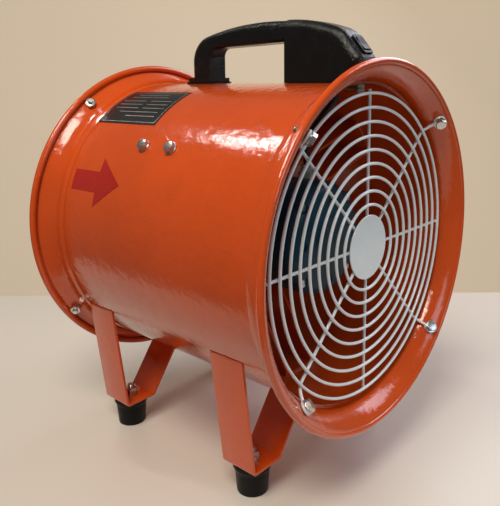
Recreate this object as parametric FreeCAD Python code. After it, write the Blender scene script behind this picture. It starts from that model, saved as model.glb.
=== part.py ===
import FreeCAD, Part
import math
import os

# Portable axial duct fan: a rolled steel duct with a bellmouth and a wire guard at each end,
# two bent-strap stands on rubber feet, a carrying handle with a switch housing, and a
# totally enclosed induction motor held by three channel arms, driving a six-blade impeller.
#
# Frame: millimetres, +Z up, the floor is z = 0. The duct axis runs along Y and the front
# (switch end) looks toward -Y. Stations are measured from the front lip along the duct.
# Angles go round the duct from its top, positive toward +X.

os.makedirs("parts", exist_ok=True)
V = FreeCAD.Vector
X, Y, Z = V(1, 0, 0), V(0, 1, 0), V(0, 0, 1)

# ---- driving dimensions ----
LENGTH = 330.0             # lip to lip
AXIS_Z = 233.0             # duct axis above the floor
BORE_R = 152.0             # inside of the duct sheet
SHEET = 1.5
DUCT_R = BORE_R + SHEET
TUBE_END = 27.0            # the sheet tube stops this far behind each lip
NECK_END = 34.0            # the bellmouth neck laps the tube up to here
FLARE_R = 29.2             # radius of the flare's curve
BEAD_R = 3.3               # rolled bead at the lip
BEAD_MID_R = 171.2

WIRE_R = 1.5
RING_OUT_R = 143.5
RING_PITCH = 12.85
RING_COUNT = 9
RING_STATION = 18.9
SPOKE_STATION = RING_STATION + 2.8
HUB_DISC_R = 31.0
LOOP_R = 5.0
BOLT_FLARE_ANGLE = 40.6    # how far round the flare's curve the guard bolts sit
REAR_GUARD_TURN = 9.0

STRAP_W = 40.0
STRAP_T = 3.0
STAND_STATIONS = (84.5, 275.5)
STRAP_LINE = [(-127.0, -83.0), (-113.0, -201.5), (-77.0, -201.5), (-43.5, -155.0),
              (43.5, -155.0), (77.0, -201.5), (113.0, -201.5), (127.0, -83.0)]
FOOT_X = 95.0
FOOT_TOP_R, FOOT_LOW_R = 19.0, 15.0
FOOT_TOP_Z = 30.0

GRIP_W = 24.0
HOUSING_W = 34.0
GASKET = 2.0
HANDLE_SEAM = 108.0        # station where the grip meets the switch housing

MOTOR_R = 58.0
SHELL_IN_R = 55.5
MOTOR_FRONT, SHELL_FRONT = 62.0, 84.0
SHELL_REAR, MOTOR_REAR = 206.0, 226.0
STATOR_IN_R = 33.0
STATOR_FRONT, STATOR_REAR = 108.0, 178.0
ROTOR_R = 32.4
SHAFT_R = 7.5
SHAFT_FRONT, SHAFT_REAR = 72.5, 262.0
BEARING_R, BEARING_W = 17.5, 11.0
BEARING_STATIONS = (72.0, 208.0)
TIE_R = 52.5

ARM_ANGLES = (-52.0, 52.0, 180.0)
ARM_HALF_W = 22.0
ARM_BOLT_STATIONS = (156.0, 195.0)

BLADE_COUNT = 6
HUB_R = 50.0
TIP_R = 148.0
HUB_FRONT, HUB_REAR = 231.0, 263.0

LEAD_R = 3.5
EARTH_R = 1.25
EPS = 0.05


# ---- small helpers ----
def st(station):
    return station - LENGTH / 2


def at(angle, radius, station):
    a = math.radians(angle)
    return V(radius * math.sin(a), st(station), AXIS_Z + radius * math.cos(a))


def outward(angle):
    a = math.radians(angle)
    return V(math.sin(a), 0, math.cos(a))


def ring(outer, inner, front, rear):
    base = V(0, st(front), AXIS_Z)
    body = Part.makeCylinder(outer, rear - front, base, Y)
    if inner > 0:
        body = body.cut(Part.makeCylinder(inner, rear - front, base, Y))
    return body


def rod(radius, start, direction, length):
    return Part.makeCylinder(radius, length, start, direction)


def box(x0, x1, s0, s1, z0, z1):
    return Part.makeBox(x1 - x0, s1 - s0, z1 - z0, V(x0, st(s0), z0))


def hexagon(flats, height, start, direction):
    corner = flats / math.sqrt(3)
    points = [V(corner * math.cos(math.radians(60 * k)), corner * math.sin(math.radians(60 * k)), 0)
              for k in range(7)]
    prism = Part.Face(Part.makePolygon(points)).extrude(V(0, 0, height))
    prism.Placement = FreeCAD.Placement(start, FreeCAD.Rotation(Z, direction))
    return prism


def washer(outer, inner, thick, start, direction):
    return rod(outer, start, direction, thick).cut(rod(inner, start, direction, thick))


def fuse(shapes):
    body = shapes[0].multiFuse(shapes[1:])
    return body.removeSplitter()


def cut_all(body, tools):
    return body.cut(Part.makeCompound(tools))


def turned(shape, angle):
    copy = shape.copy()
    copy.rotate(V(0, 0, AXIS_Z), Y, angle)
    return copy


def to_rear(shape):
    # the two ends of the duct are mirror images about its middle
    return shape.mirror(V(0, 0, 0), Y)


def spin(points, close_line=True):
    # a profile of (radius, station) points turned about the duct axis
    corners = [V(0, st(s), AXIS_Z + r) for r, s in points]
    wire = Part.makePolygon(corners + [corners[0]])
    return Part.Face(wire).revolve(V(0, 0, AXIS_Z), Y, 360)


def pipe(points, radius, bend):
    # a round cord along straight runs, with an arc of radius bend at each corner
    edges, start = [], points[0]
    for before, corner, after in zip(points, points[1:], points[2:]):
        back, ahead = (before - corner).normalize(), (after - corner).normalize()
        half = back.getAngle(ahead) / 2
        reach = bend / math.tan(half)
        middle = corner + (back + ahead).normalize() * (bend / math.sin(half) - bend)
        enter, leave = corner + back * reach, corner + ahead * reach
        edges.append(Part.makeLine(start, enter))
        edges.append(Part.Arc(enter, middle, leave).toShape())
        start = leave
    edges.append(Part.makeLine(start, points[-1]))
    heading = points[1] - points[0]
    profile = Part.Wire(Part.makeCircle(radius, points[0], heading))
    return Part.Wire(edges).makePipeShell([profile], True, True)


def save(name, shapes):
    group = shapes if isinstance(shapes, list) else [shapes]
    solids = [solid for shape in group for solid in shape.Solids]
    for solid in solids:
        if not solid.isValid() or solid.Volume <= 0:
            print("BAD SOLID", name)
    body = solids[0] if len(solids) == 1 else Part.makeCompound(solids)
    body.exportStep("parts/%s.step" % name)
    print(name, len(solids), "solid(s)", round(sum(s.Volume for s in solids) / 1000, 2), "cm3")


# ---- bellmouths ----
def flare_point(turn, radius):
    # turn degrees round the flare's curve: 0 at the neck, 90 would face the front
    a = math.radians(turn)
    return DUCT_R + FLARE_R - radius * math.cos(a), TUBE_END - radius * math.sin(a)


def profile_vector(radius, station):
    return V(0, st(station), AXIS_Z + radius)


def bellmouth():
    lip_turn = 60.8
    inner = [profile_vector(*flare_point(t, FLARE_R)) for t in (0, lip_turn / 2, lip_turn)]
    outer = [profile_vector(*flare_point(t, FLARE_R - SHEET)) for t in (lip_turn, lip_turn / 2, 0)]
    neck_in = profile_vector(DUCT_R, NECK_END)
    neck_out = profile_vector(DUCT_R + SHEET, NECK_END)
    edges = [Part.makeLine(neck_in, inner[0]),
             Part.Arc(*inner).toShape(),
             Part.makeLine(inner[2], outer[0]),
             Part.Arc(*outer).toShape(),
             Part.makeLine(outer[2], neck_out),
             Part.makeLine(neck_out, neck_in)]
    sheet = Part.Face(Part.Wire(edges)).revolve(V(0, 0, AXIS_Z), Y, 360)
    bead = Part.makeTorus(BEAD_MID_R, BEAD_R, V(0, st(BEAD_R), AXIS_Z), Y)
    return sheet.fuse(bead)


def guard_seat(angle):
    # where a guard bolt meets the flare, the way its head points, and the way into the duct
    radius, station = flare_point(BOLT_FLARE_ANGLE, FLARE_R)
    a = math.radians(BOLT_FLARE_ANGLE)
    head_way = outward(angle) * -math.cos(a) - Y * math.sin(a)
    inner_way = outward(angle) * -math.sin(a) + Y * math.cos(a)
    return at(angle, radius, station), head_way, inner_way


GUARD_ANGLES = (-45, 45, 135, 225)
holes = []
bolts, washers, nuts = [], [], []
for angle in GUARD_ANGLES:
    seat, head_way, inner_way = guard_seat(angle)
    holes.append(rod(3.25, seat - head_way * 6, head_way, 12))
    head = seat + head_way * 4.5
    bolts.append(fuse([hexagon(10, 4, head, head_way), rod(3, head, head_way * -1, 14.5)]))
    washers.append(washer(6, 3.2, 1.2, head - head_way * 1.2, head_way))
    back = seat - head_way * 2.1
    nut = hexagon(10, 4.8, back, head_way * -1)
    nuts.append(nut.cut(rod(3, back, head_way * -1, 5)))

front_bell = cut_all(bellmouth(), holes)
save("front_bellmouth", front_bell)
save("rear_bellmouth", turned(to_rear(front_bell), REAR_GUARD_TURN))
all_bolts = bolts + [turned(to_rear(b), REAR_GUARD_TURN) for b in bolts]
save("guard_bolts", all_bolts)
save("guard_washers", washers + [turned(to_rear(w), REAR_GUARD_TURN) for w in washers])
save("guard_nuts", nuts + [turned(to_rear(n), REAR_GUARD_TURN) for n in nuts])


# ---- wire guards ----
def wire_line(start, end):
    way = end - start
    return rod(WIRE_R, start, way, way.Length)


HOOK_START_R, KNEE_R = 145.3, 147.0


def guard_wires():
    wires = []
    for k in range(RING_COUNT):
        radius = RING_OUT_R - k * RING_PITCH
        wires.append(Part.makeTorus(radius, WIRE_R, V(0, st(RING_STATION), AXIS_Z), Y))
    for angle in (0, 90, 180, 270):
        wires.append(wire_line(at(angle, 20, SPOKE_STATION), at(angle, KNEE_R, SPOKE_STATION)))
    for angle in GUARD_ANGLES:
        wires.append(wire_line(at(angle, 20, SPOKE_STATION), at(angle, HOOK_START_R, SPOKE_STATION)))
    return fuse(wires)


def guard_hook(angle):
    # butt-welded to the end of a spoke, bent at its knee and looped round a guard bolt
    seat, head_way, inner_way = guard_seat(angle)
    centre = seat + head_way * 1.65
    knee = at(angle, KNEE_R, SPOKE_STATION)
    wires = [wire_line(at(angle, HOOK_START_R, SPOKE_STATION), knee),
             Part.makeSphere(WIRE_R, knee),
             wire_line(knee, centre + inner_way * LOOP_R),
             Part.makeTorus(LOOP_R, WIRE_R, centre, head_way)]
    return fuse(wires)


front_guard = guard_wires()
front_hooks = [guard_hook(angle) for angle in GUARD_ANGLES]
front_disc = ring(HUB_DISC_R, 0, SPOKE_STATION - WIRE_R - 1.5, SPOKE_STATION - WIRE_R)
save("front_guard", front_guard)
save("front_guard_hooks", front_hooks)
save("front_guard_disc", front_disc)
save("rear_guard", turned(to_rear(front_guard), REAR_GUARD_TURN))
save("rear_guard_hooks", [turned(to_rear(h), REAR_GUARD_TURN) for h in front_hooks])
save("rear_guard_disc", to_rear(front_disc))


# ---- duct tube ----
LEAD_X, LEAD_STATION = 10.0, 66.0
EARTH_STATION = 56.0
EARTH_SCREW_STATION = 38.5
HANDLE_SCREWS = (84.0, 98.0, 223.0, 238.0)

tube_holes = []
for angle in ARM_ANGLES:
    for station in ARM_BOLT_STATIONS:
        tube_holes.append(rod(3.25, at(angle, 140, station), outward(angle), 20))
for station in HANDLE_SCREWS:
    tube_holes.append(rod(3.25, V(0, st(station), AXIS_Z + 140), Z, 20))
tube_holes.append(rod(5.5, V(LEAD_X, st(LEAD_STATION), AXIS_Z + 140), Z, 20))
tube_holes.append(rod(1.6, V(LEAD_X, st(EARTH_STATION), AXIS_Z + 140), Z, 20))
tube_holes.append(rod(2.1, V(LEAD_X, st(EARTH_SCREW_STATION), AXIS_Z + 140), Z, 20))
duct_tube = cut_all(ring(DUCT_R, BORE_R, TUBE_END, LENGTH - TUBE_END), tube_holes)
save("duct_tube", duct_tube)


def sector(outer, inner, front, rear, middle, width):
    # a piece of a ring, width degrees wide, centred on the angle middle
    half = math.radians(width / 2)
    reach = outer * 2
    corners = [V(0, st(front), AXIS_Z),
               V(-reach * math.sin(half), st(front), AXIS_Z + reach * math.cos(half)),
               V(reach * math.sin(half), st(front), AXIS_Z + reach * math.cos(half))]
    wedge = Part.Face(Part.makePolygon(corners + [corners[0]])).extrude(Y * (rear - front))
    return turned(ring(outer, inner, front, rear).common(wedge), middle)


save("nameplate", sector(DUCT_R + 0.5, DUCT_R, 200.5, 295.5, -31.5, 22.0))


# ---- stands and feet ----
def strap(line, thick, width, station):
    pieces = []
    low = st(station) - width / 2
    corners = [V(x, low, AXIS_Z + z) for x, z in line]
    for start, end in zip(corners, corners[1:]):
        way = end - start
        side = way.cross(Y)
        side.normalize()
        side = side * (thick / 2)
        quad = Part.makePolygon([start - side, end - side, end + side, start + side, start - side])
        pieces.append(Part.Face(quad).extrude(Y * width))
    for corner in corners[1:-1]:
        pieces.append(rod(thick / 2, corner, Y, width))
    return fuse(pieces)


def stand(station):
    body = strap(STRAP_LINE, STRAP_T, STRAP_W, station)
    body = body.cut(ring(DUCT_R, 0, station - STRAP_W, station + STRAP_W))
    bolt_holes = [rod(4.3, V(side * FOOT_X, st(station), 20), Z, 20) for side in (-1, 1)]
    return cut_all(body, bolt_holes)


def foot(x, station):
    y = st(station)
    cone = Part.makeCone(FOOT_LOW_R, FOOT_TOP_R, FOOT_TOP_Z, V(x, y, 0), Z)
    recess = rod(9.5, V(x, y, 0), Z, 12)
    return cut_all(cone, [recess, rod(4.3, V(x, y, 0), Z, 40)])


save("front_stand", stand(STAND_STATIONS[0]))
save("rear_stand", stand(STAND_STATIONS[1]))
foot_bolts, foot_washers, foot_nuts = [], [], []
for end, station in zip(("front", "rear"), STAND_STATIONS):
    for side, x in zip(("left", "right"), (-FOOT_X, FOOT_X)):
        y = st(station)
        save("foot_%s_%s" % (end, side), foot(x, station))
        foot_washers.append(washer(8, 4.3, 1.6, V(x, y, 10.4), Z))
        head = hexagon(13, 5.3, V(x, y, 10.4), Z * -1)
        foot_bolts.append(fuse([head, rod(4, V(x, y, 10.4), Z, 34.6)]))
        flat = FOOT_TOP_Z + STRAP_T
        foot_washers.append(washer(8, 4.3, 1.6, V(x, y, flat), Z))
        nut = hexagon(13, 6.5, V(x, y, flat + 1.6), Z)
        foot_nuts.append(nut.cut(rod(4, V(x, y, flat), Z, 12)))
save("foot_bolts", foot_bolts)
save("foot_washers", foot_washers)
save("foot_nuts", foot_nuts)


# ---- handle ----
def hz(station, height):
    # a point of the handle's side outline: station and height above the duct axis
    return V(0, st(station), AXIS_Z + height)


def side_outline(edges, width):
    wire = Part.Wire(edges)
    face = Part.Face(wire)
    face.translate(V(-width / 2, 0, 0))
    return face.extrude(V(width, 0, 0))


def rounded(body, radius, keep):
    # round the edges for which keep(middle of the edge) holds
    chosen = [e for e in body.Edges if keep(e.CenterOfMass)]
    return body.makeFillet(radius, chosen)


def grip():
    line, arc = Part.makeLine, Part.Arc
    edges = [line(hz(246, 150), hz(246, 178)),
             arc(hz(246, 178), hz(239, 194), hz(224, 203)).toShape(),
             arc(hz(224, 203), hz(170, 211.7), hz(HANDLE_SEAM, 211.5)).toShape(),
             line(hz(HANDLE_SEAM, 211.5), hz(HANDLE_SEAM, 192)),
             line(hz(HANDLE_SEAM, 192), hz(205, 190)),
             arc(hz(205, 190), hz(212.5, 187), hz(215, 180)).toShape(),
             line(hz(215, 180), hz(215, 150)),
             line(hz(215, 150), hz(246, 150))]
    body = side_outline(edges, GRIP_W)
    front = st(HANDLE_SEAM)

    def upper(p):
        outer_side = p.z > AXIS_Z + 195 or p.y > st(243)
        return abs(abs(p.x) - GRIP_W / 2) < 0.1 and p.y > front + 1 and outer_side

    def lower(p):
        inner_side = p.z < AXIS_Z + 195 and p.y < st(244)
        return abs(abs(p.x) - GRIP_W / 2) < 0.1 and p.y > front + 1 and inner_side

    body = rounded(body, 7.0, upper)
    body = rounded(body, 3.0, lower)
    base = box(-15, 15, 210.5, 250.5, AXIS_Z + 140, AXIS_Z + 159)
    base = rounded(base, 5.0, lambda p: abs(abs(p.x) - 15) < 0.1 and abs(p.z - AXIS_Z - 149.5) < 0.2)
    body = fuse([body, base])
    spigot = box(-8, 8, HANDLE_SEAM - 7, HANDLE_SEAM, AXIS_Z + 195, AXIS_Z + 205)
    body = body.fuse(spigot)
    body = body.cut(ring(DUCT_R + GASKET, 0, 200, 260))
    screws = [rod(3.0, hz(s, 150), Z, 18) for s in (223.0, 238.0)]
    return cut_all(body, screws)


FACE_LOW, FACE_HIGH = (24.5, 177.6), (38.3, 193.9)   # the flat that carries the switch
FACE_MID = (hz(*FACE_LOW) + hz(*FACE_HIGH)) * 0.5
FACE_UP = (hz(*FACE_HIGH) - hz(*FACE_LOW)).normalize()
FACE_OUT = X.cross(FACE_UP)
BOSS_TOP = 175.0
GLAND_STATION, GLAND_HEIGHT = 60.0, 181.0


def on_face(shape):
    # put a shape drawn with z pointing out of the switch face in its place
    shape.Placement = FreeCAD.Placement(FACE_MID, FreeCAD.Rotation(X, FACE_UP, FACE_OUT, "ZXY"))
    return shape


def face_block(wide, tall, low, high):
    return on_face(Part.makeBox(wide, tall, high - low, V(-wide / 2, -tall / 2, low)))


def housing_edges():
    line, arc = Part.makeLine, Part.Arc
    return [line(hz(HANDLE_SEAM, 150), hz(HANDLE_SEAM, 212.5)),
            arc(hz(HANDLE_SEAM, 212.5), hz(80, 209.8), hz(50, 202.2)).toShape(),
            arc(hz(50, 202.2), hz(43.6, 198.7), hz(*FACE_HIGH)).toShape(),
            line(hz(*FACE_HIGH), hz(*FACE_LOW)),
            arc(hz(*FACE_LOW), hz(22.6, 170), hz(27, 162.5)).toShape(),
            line(hz(27, 162.5), hz(37, 156.5)),
            line(hz(37, 156.5), hz(37, 150)),
            line(hz(37, 150), hz(HANDLE_SEAM, 150))]


def housing_hollow():
    corners = [(105, 140), (105, 207), (60, 201), (45, 194), (31, 178), (31, 167), (41, 157), (41, 140)]
    points = [hz(*corner) for corner in corners]
    edges = [Part.makeLine(p, q) for p, q in zip(points, points[1:] + points[:1])]
    cavity = side_outline(edges, HOUSING_W - 5)
    return rounded(cavity, 5.0, lambda p: abs(p.x) > 14 and p.z > AXIS_Z + 165 and p.y < st(104))


def housing():
    envelope = side_outline(housing_edges(), HOUSING_W)

    def rim(p):
        return abs(abs(p.x) - HOUSING_W / 2) < 0.1 and p.z > AXIS_Z + 160 and p.y < st(107)

    body = rounded(envelope, 9.0, rim).cut(housing_hollow())
    bosses = [rod(6.5, hz(s, 150), Z, BOSS_TOP - 150) for s in HANDLE_SCREWS[:2]]
    webs = [box(-16, 16, s - 1.5, s + 1.5, AXIS_Z + 150, AXIS_Z + 168) for s in HANDLE_SCREWS[:2]]
    body = fuse([body] + bosses + webs)
    body = body.cut(ring(DUCT_R + GASKET, 0, 20, 120))
    cuts = [rod(3.0, hz(s, 150), Z, 16) for s in HANDLE_SCREWS[:2]]
    cuts.append(box(-8, 8, HANDLE_SEAM - 7, HANDLE_SEAM + 1, AXIS_Z + 195, AXIS_Z + 205))
    cuts.append(face_block(12.6, 18.6, -12, 1))
    cuts.append(rod(6.0, hz(GLAND_STATION, GLAND_HEIGHT) + X * 10, X, 10))
    return cut_all(body, cuts)


def gaskets():
    sheet = ring(DUCT_R + GASKET, DUCT_R, 30, 260)
    rear = sheet.common(box(-15, 15, 210.5, 250.5, AXIS_Z + 140, AXIS_Z + 160))
    front = sheet.common(box(-17, 17, 37, HANDLE_SEAM, AXIS_Z + 140, AXIS_Z + 160))
    cuts = [rod(3.25, hz(s, 150), Z, 10) for s in HANDLE_SCREWS]
    cuts.append(rod(9.0, V(LEAD_X, st(LEAD_STATION), AXIS_Z + 140), Z, 20))
    cuts.append(rod(1.6, V(LEAD_X, st(EARTH_STATION), AXIS_Z + 140), Z, 20))
    cuts.append(rod(4.5, V(LEAD_X, st(EARTH_SCREW_STATION), AXIS_Z + 140), Z, 20))
    cuts.append(box(-14.5, 2, 41, 76, AXIS_Z + 140, AXIS_Z + 160))
    return [cut_all(rear, cuts), cut_all(front, cuts)]


save("handle_grip", grip())
save("switch_housing", housing())
save("handle_gaskets", gaskets())
handle_screws, handle_washers = [], []
for station in HANDLE_SCREWS:
    seat = hz(station, BORE_R - 0.15)
    handle_washers.append(washer(6, 3.2, 1.2, seat, Z * -1))
    head = hexagon(10, 4, seat - Z * 1.2, Z * -1)
    handle_screws.append(fuse([head, rod(3.0, seat - Z * 1.2, Z, 15)]))
save("handle_screws", handle_screws)
save("handle_washers", handle_washers)


# ---- switch ----
PIVOT_RISE = 0.6
ROCKER_TILT = 8.0


def pivot_rod(radius, half_length):
    return Part.makeCylinder(radius, 2 * half_length, V(-half_length, 0, PIVOT_RISE), X)


def switch_body():
    body = Part.makeBox(12.6, 18.6, 12, V(-6.3, -9.3, -12))
    bezel = Part.makeBox(15, 21, 2, V(-7.5, -10.5, 0))
    corners = [e for e in bezel.Edges if abs(e.CenterOfMass.z - 1) < 0.01]
    bezel = bezel.makeFillet(2.0, corners)
    body = body.fuse(bezel).removeSplitter()
    body = body.cut(pivot_rod(7.8, 5.4))
    body = body.cut(pivot_rod(1.3, 6.2))
    return on_face(body)


def rocker():
    # the paddle drawn level, then tipped to the off side
    drum = pivot_rod(7.4, 5.0)
    top = [V(-5, -8, 3.1), V(-5, 0, 2.0), V(-5, 8, 3.1), V(-5, 8, -3), V(-5, -8, -3), V(-5, -8, 3.1)]
    wedge = Part.Face(Part.makePolygon(top)).extrude(V(10, 0, 0))
    paddle = drum.common(wedge).fuse(pivot_rod(1.0, 6.0)).removeSplitter()
    paddle.rotate(V(0, 0, PIVOT_RISE), X, ROCKER_TILT)
    return on_face(paddle)


save("switch_body", switch_body())
save("switch_rocker", rocker())
terminals = [on_face(Part.makeBox(4.8, 0.8, 8, V(-2.4, y - 0.4, -20))) for y in (-6, 0, 6)]
save("switch_terminals", terminals)
pivot = FACE_MID + FACE_OUT * PIVOT_RISE
print("rocker pivot", [round(c, 3) for c in pivot])

gland_seat = hz(GLAND_STATION, GLAND_HEIGHT) + X * (HOUSING_W / 2)
gland = fuse([hexagon(17, 4, gland_seat, X), rod(6.0, gland_seat - X * 5, X, 18)])
save("supply_gland", gland.cut(rod(3.5, gland_seat - X * 6, X, 30)))
lock_nut = hexagon(15, 2.5, gland_seat - X * 2.5, X * -1).cut(rod(6.0, gland_seat - X * 6, X, 5))
cap = rod(9.0, gland_seat + X * 5, X, 13).cut(rod(6.0, gland_seat + X * 4, X, 9))
cap = cap.cut(rod(4.2, gland_seat + X * 4, X, 20))
save("supply_gland_nuts", [lock_nut, cap])
save("run_capacitor", box(-13, 13, 72, 103, AXIS_Z + BOSS_TOP, AXIS_Z + BOSS_TOP + 18))


# ---- leads ----
def lead_point(station, height):
    return V(LEAD_X, st(station), AXIS_Z + height)


LEAD_ROUTE = [(52, 172), (66, 162), (66, 138), (101, 98), (101, 49)]
LEAD_BEND = 12.6
EARTH_ROUTE = [(56, 158), (56, 147.5), (47.5, 147.5)]
EARTH_BEND = 3.0
lead_points = [lead_point(*p) for p in LEAD_ROUTE]
earth_points = [lead_point(*p) for p in EARTH_ROUTE]
save("motor_lead", pipe(lead_points, LEAD_R, LEAD_BEND))
lug = washer(4.0, 2.0, 0.8, lead_point(EARTH_SCREW_STATION, 147.1), Z)
tongue = box(LEAD_X - 1.5, LEAD_X + 1.5, 41.0, 45.0, AXIS_Z + 147.1, AXIS_Z + 147.9)
barrel = rod(1.7, lead_point(43.4, 147.5), Y, 4.6)
save("earth_lead", fuse([pipe(earth_points, EARTH_R, EARTH_BEND), barrel, tongue, lug]))
print("motor lead radius", LEAD_R, "tightest bend", LEAD_BEND)
print("earth lead radius", EARTH_R, "tightest bend", EARTH_BEND)

grommet = fuse([rod(8.0, lead_point(LEAD_STATION, 153.5), Z, 0.9),
                rod(5.5, lead_point(LEAD_STATION, 149.4), Z, 5.0),
                rod(8.0, lead_point(LEAD_STATION, 149.4), Z, 1.5)])
save("lead_grommet", grommet.cut(rod(3.8, lead_point(LEAD_STATION, 140), Z, 20)))
stud = fuse([rod(3.5, lead_point(EARTH_SCREW_STATION, 153.5), Z, 1.2),
             rod(2.0, lead_point(EARTH_SCREW_STATION, 142.0), Z, 12)])
save("earth_stud", stud)
earth_nuts = [hexagon(7, 3.2, lead_point(EARTH_SCREW_STATION, z), Z) for z in (147.9, 143.9)]
stud_hole = rod(2.0, lead_point(EARTH_SCREW_STATION, 140), Z, 15)
save("earth_nuts", [nut.cut(stud_hole) for nut in earth_nuts])


# ---- motor ----
def spread(shape, count, first=0.0):
    return [turned(shape, first + k * 360 / count) for k in range(count)]


def bell(outline, pad_front, pad_rear):
    # a turned end bell with four tie-bolt pads inside its rim
    body = spin(outline)
    envelope = ring(MOTOR_R, 0, MOTOR_FRONT - 1, MOTOR_REAR)
    pad = rod(5.5, at(0, TIE_R, pad_front), Y, pad_rear - pad_front).common(envelope)
    return fuse([body] + spread(pad, 4, 45))


tie_hole = rod(2.5, at(0, TIE_R, 50), Y, 190)
tie_holes = spread(tie_hole, 4, 45)
front_outline = [(0, 61), (20, 61), (22, 63), (44, 63.5), (51, 66), (55.5, 70.5), (58, 77), (58, 84),
                 (55.5, 84), (55, 78.5), (53, 73.5), (49.5, 69.8), (43, 67.2), (21, 67), (21, 84),
                 (BEARING_R, 84), (BEARING_R, 67), (0, 67)]
front_cuts = spread(rod(5.2, at(0, TIE_R, 50), Y, 22), 4, 45) + tie_holes
front_cuts += spread(rod(5.0, at(0, 41, 60), Y, 5.5), 4)
front_bell_cap = cut_all(bell(front_outline, 69, 84), front_cuts)
save("motor_front_bell", front_bell_cap)

rear_outline = [(9, 226), (20, 226), (22, 223.5), (46, 223), (53, 220), (57, 214), (58, 209), (58, 206),
                (55.5, 206), (55, 209), (53.5, 213), (50.5, 217), (45, 219.5), (21, 219.5), (21, 206),
                (BEARING_R, 206), (BEARING_R, 219), (9, 219)]
rear_cuts = spread(rod(5.2, at(0, TIE_R, 217), Y, 12), 4, 45) + tie_holes
save("motor_rear_bell", cut_all(bell(rear_outline, 206, 219), rear_cuts))

gland_x = rod(4.3, lead_point(101, 45), Z, 20)
save("motor_shell", ring(MOTOR_R, SHELL_IN_R, SHELL_FRONT, SHELL_REAR).cut(gland_x))
core = ring(SHELL_IN_R, STATOR_IN_R, STATOR_FRONT, STATOR_REAR)
save("stator_core", cut_all(core, spread(rod(3.4, at(0, TIE_R, 100), Y, 90), 4, 45)))
save("stator_windings", [ring(48.5, 35.5, 88, STATOR_FRONT), ring(48.5, 35.5, STATOR_REAR, 198)])
outer_rings = [ring(BEARING_R, 14.6, s, s + BEARING_W) for s in BEARING_STATIONS]
save("bearing_outer_rings", outer_rings)
tie_bolt = fuse([rod(4.2, at(0, TIE_R, 68), Y, 4), rod(2.5, at(0, TIE_R, 72), Y, 151)])
save("tie_bolts", spread(tie_bolt, 4, 45))
tie_nut = hexagon(8, 4, at(0, TIE_R, 217), Y).cut(tie_hole)
save("tie_nuts", spread(tie_nut, 4, 45))
motor_gland = fuse([rod(8.0, lead_point(101, 50), Z, 9.5), hexagon(15, 4, lead_point(101, 59.5), Z),
                    rod(6.2, lead_point(101, 63), Z, 8)])
motor_gland = motor_gland.cut(ring(MOTOR_R, 0, 80, 120)).cut(rod(3.9, lead_point(101, 40), Z, 40))
save("motor_gland", motor_gland)


# ---- motor mount ----
def channel_arm():
    # a pressed channel standing on the duct wall, drawn at the top of the duct
    cheek_line = [hz(102, 152), hz(206, 152), hz(200, 50), hz(150, 50), hz(150, 62), hz(102, 144), hz(102, 152)]
    cheek = Part.Face(Part.makePolygon(cheek_line)).extrude(V(3, 0, 0))
    window = rod(15, hz(175, 105) - X * 5, X, 10)
    cheek = cheek.cut(window)
    left = cheek.copy()
    left.translate(V(-ARM_HALF_W, 0, 0))
    right = cheek.copy()
    right.translate(V(ARM_HALF_W - 3, 0, 0))
    base = ring(BORE_R, BORE_R - 3, 102, 206)
    base = base.common(box(-ARM_HALF_W, ARM_HALF_W, 102, 206, AXIS_Z + 100, AXIS_Z + 160))
    arm = fuse([left, right, base])
    arm = arm.common(ring(BORE_R, MOTOR_R, 100, 210))
    bolt_holes = [rod(3.25, hz(s, 140), Z, 20) for s in ARM_BOLT_STATIONS]
    return cut_all(arm, bolt_holes)


arm = channel_arm()
band = ring(MOTOR_R + 3, MOTOR_R, 150, 200)
save("motor_mount", fuse([band] + [turned(arm, angle) for angle in ARM_ANGLES]))
mount_bolts, mount_washers, mount_nuts = [], [], []
for angle in ARM_ANGLES:
    for station in ARM_BOLT_STATIONS:
        out = outward(angle)
        mount_washers.append(washer(6.5, 3.2, 1.6, at(angle, DUCT_R, station), out))
        head = at(angle, DUCT_R + 1.6, station)
        mount_bolts.append(fuse([hexagon(10, 4, head, out), rod(3, head, out * -1, 14)]))
        inside = at(angle, BORE_R - 3.2, station)
        nut = hexagon(10, 5, inside, out * -1)
        mount_nuts.append(nut.cut(rod(3, inside, out * -1, 6)))
save("mount_bolts", mount_bolts)
save("mount_washers", mount_washers)
save("mount_nuts", mount_nuts)


# ---- rotor and impeller ----
key_slot = box(-2.5, 2.5, 238, 258, AXIS_Z + 4.5, AXIS_Z + 9.5)
screw_hole = rod(4.0, V(0, st(244), AXIS_Z), Y, 30)
shaft = ring(SHAFT_R, 0, SHAFT_FRONT, SHAFT_REAR)
save("motor_shaft", cut_all(shaft, [key_slot, screw_hole]))
save("rotor_core", ring(ROTOR_R, SHAFT_R, STATOR_FRONT, STATOR_REAR))
inner_rings = [ring(10.9, SHAFT_R, s, s + BEARING_W) for s in BEARING_STATIONS]
save("bearing_inner_rings", inner_rings)
save("shaft_key", key_slot)

BLADE_STATION = 248.0
BLADE_SECTIONS = ((44.0, 44.0, 42.0, 4.5), (95.0, 58.0, 32.0, 5.5), (152.0, 70.0, 24.0, 5.0))
BLADE_T = 2.5


def blade_section(radius, chord, pitch, camber):
    a = math.radians(pitch)
    along = V(math.cos(a), math.sin(a), 0)
    face = V(math.sin(a), -math.cos(a), 0)
    mid = V(0, st(BLADE_STATION), AXIS_Z + radius)

    def arc(shift):
        ends = [mid + along * (side * chord / 2) + face * shift for side in (-1, 1)]
        return Part.Arc(ends[0], mid + face * (shift - camber), ends[1]).toShape(), ends

    near, near_ends = arc(BLADE_T / 2)
    far, far_ends = arc(-BLADE_T / 2)
    return Part.Wire([near, Part.makeLine(near_ends[1], far_ends[1]), far,
                      Part.makeLine(far_ends[0], near_ends[0])])


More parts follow.
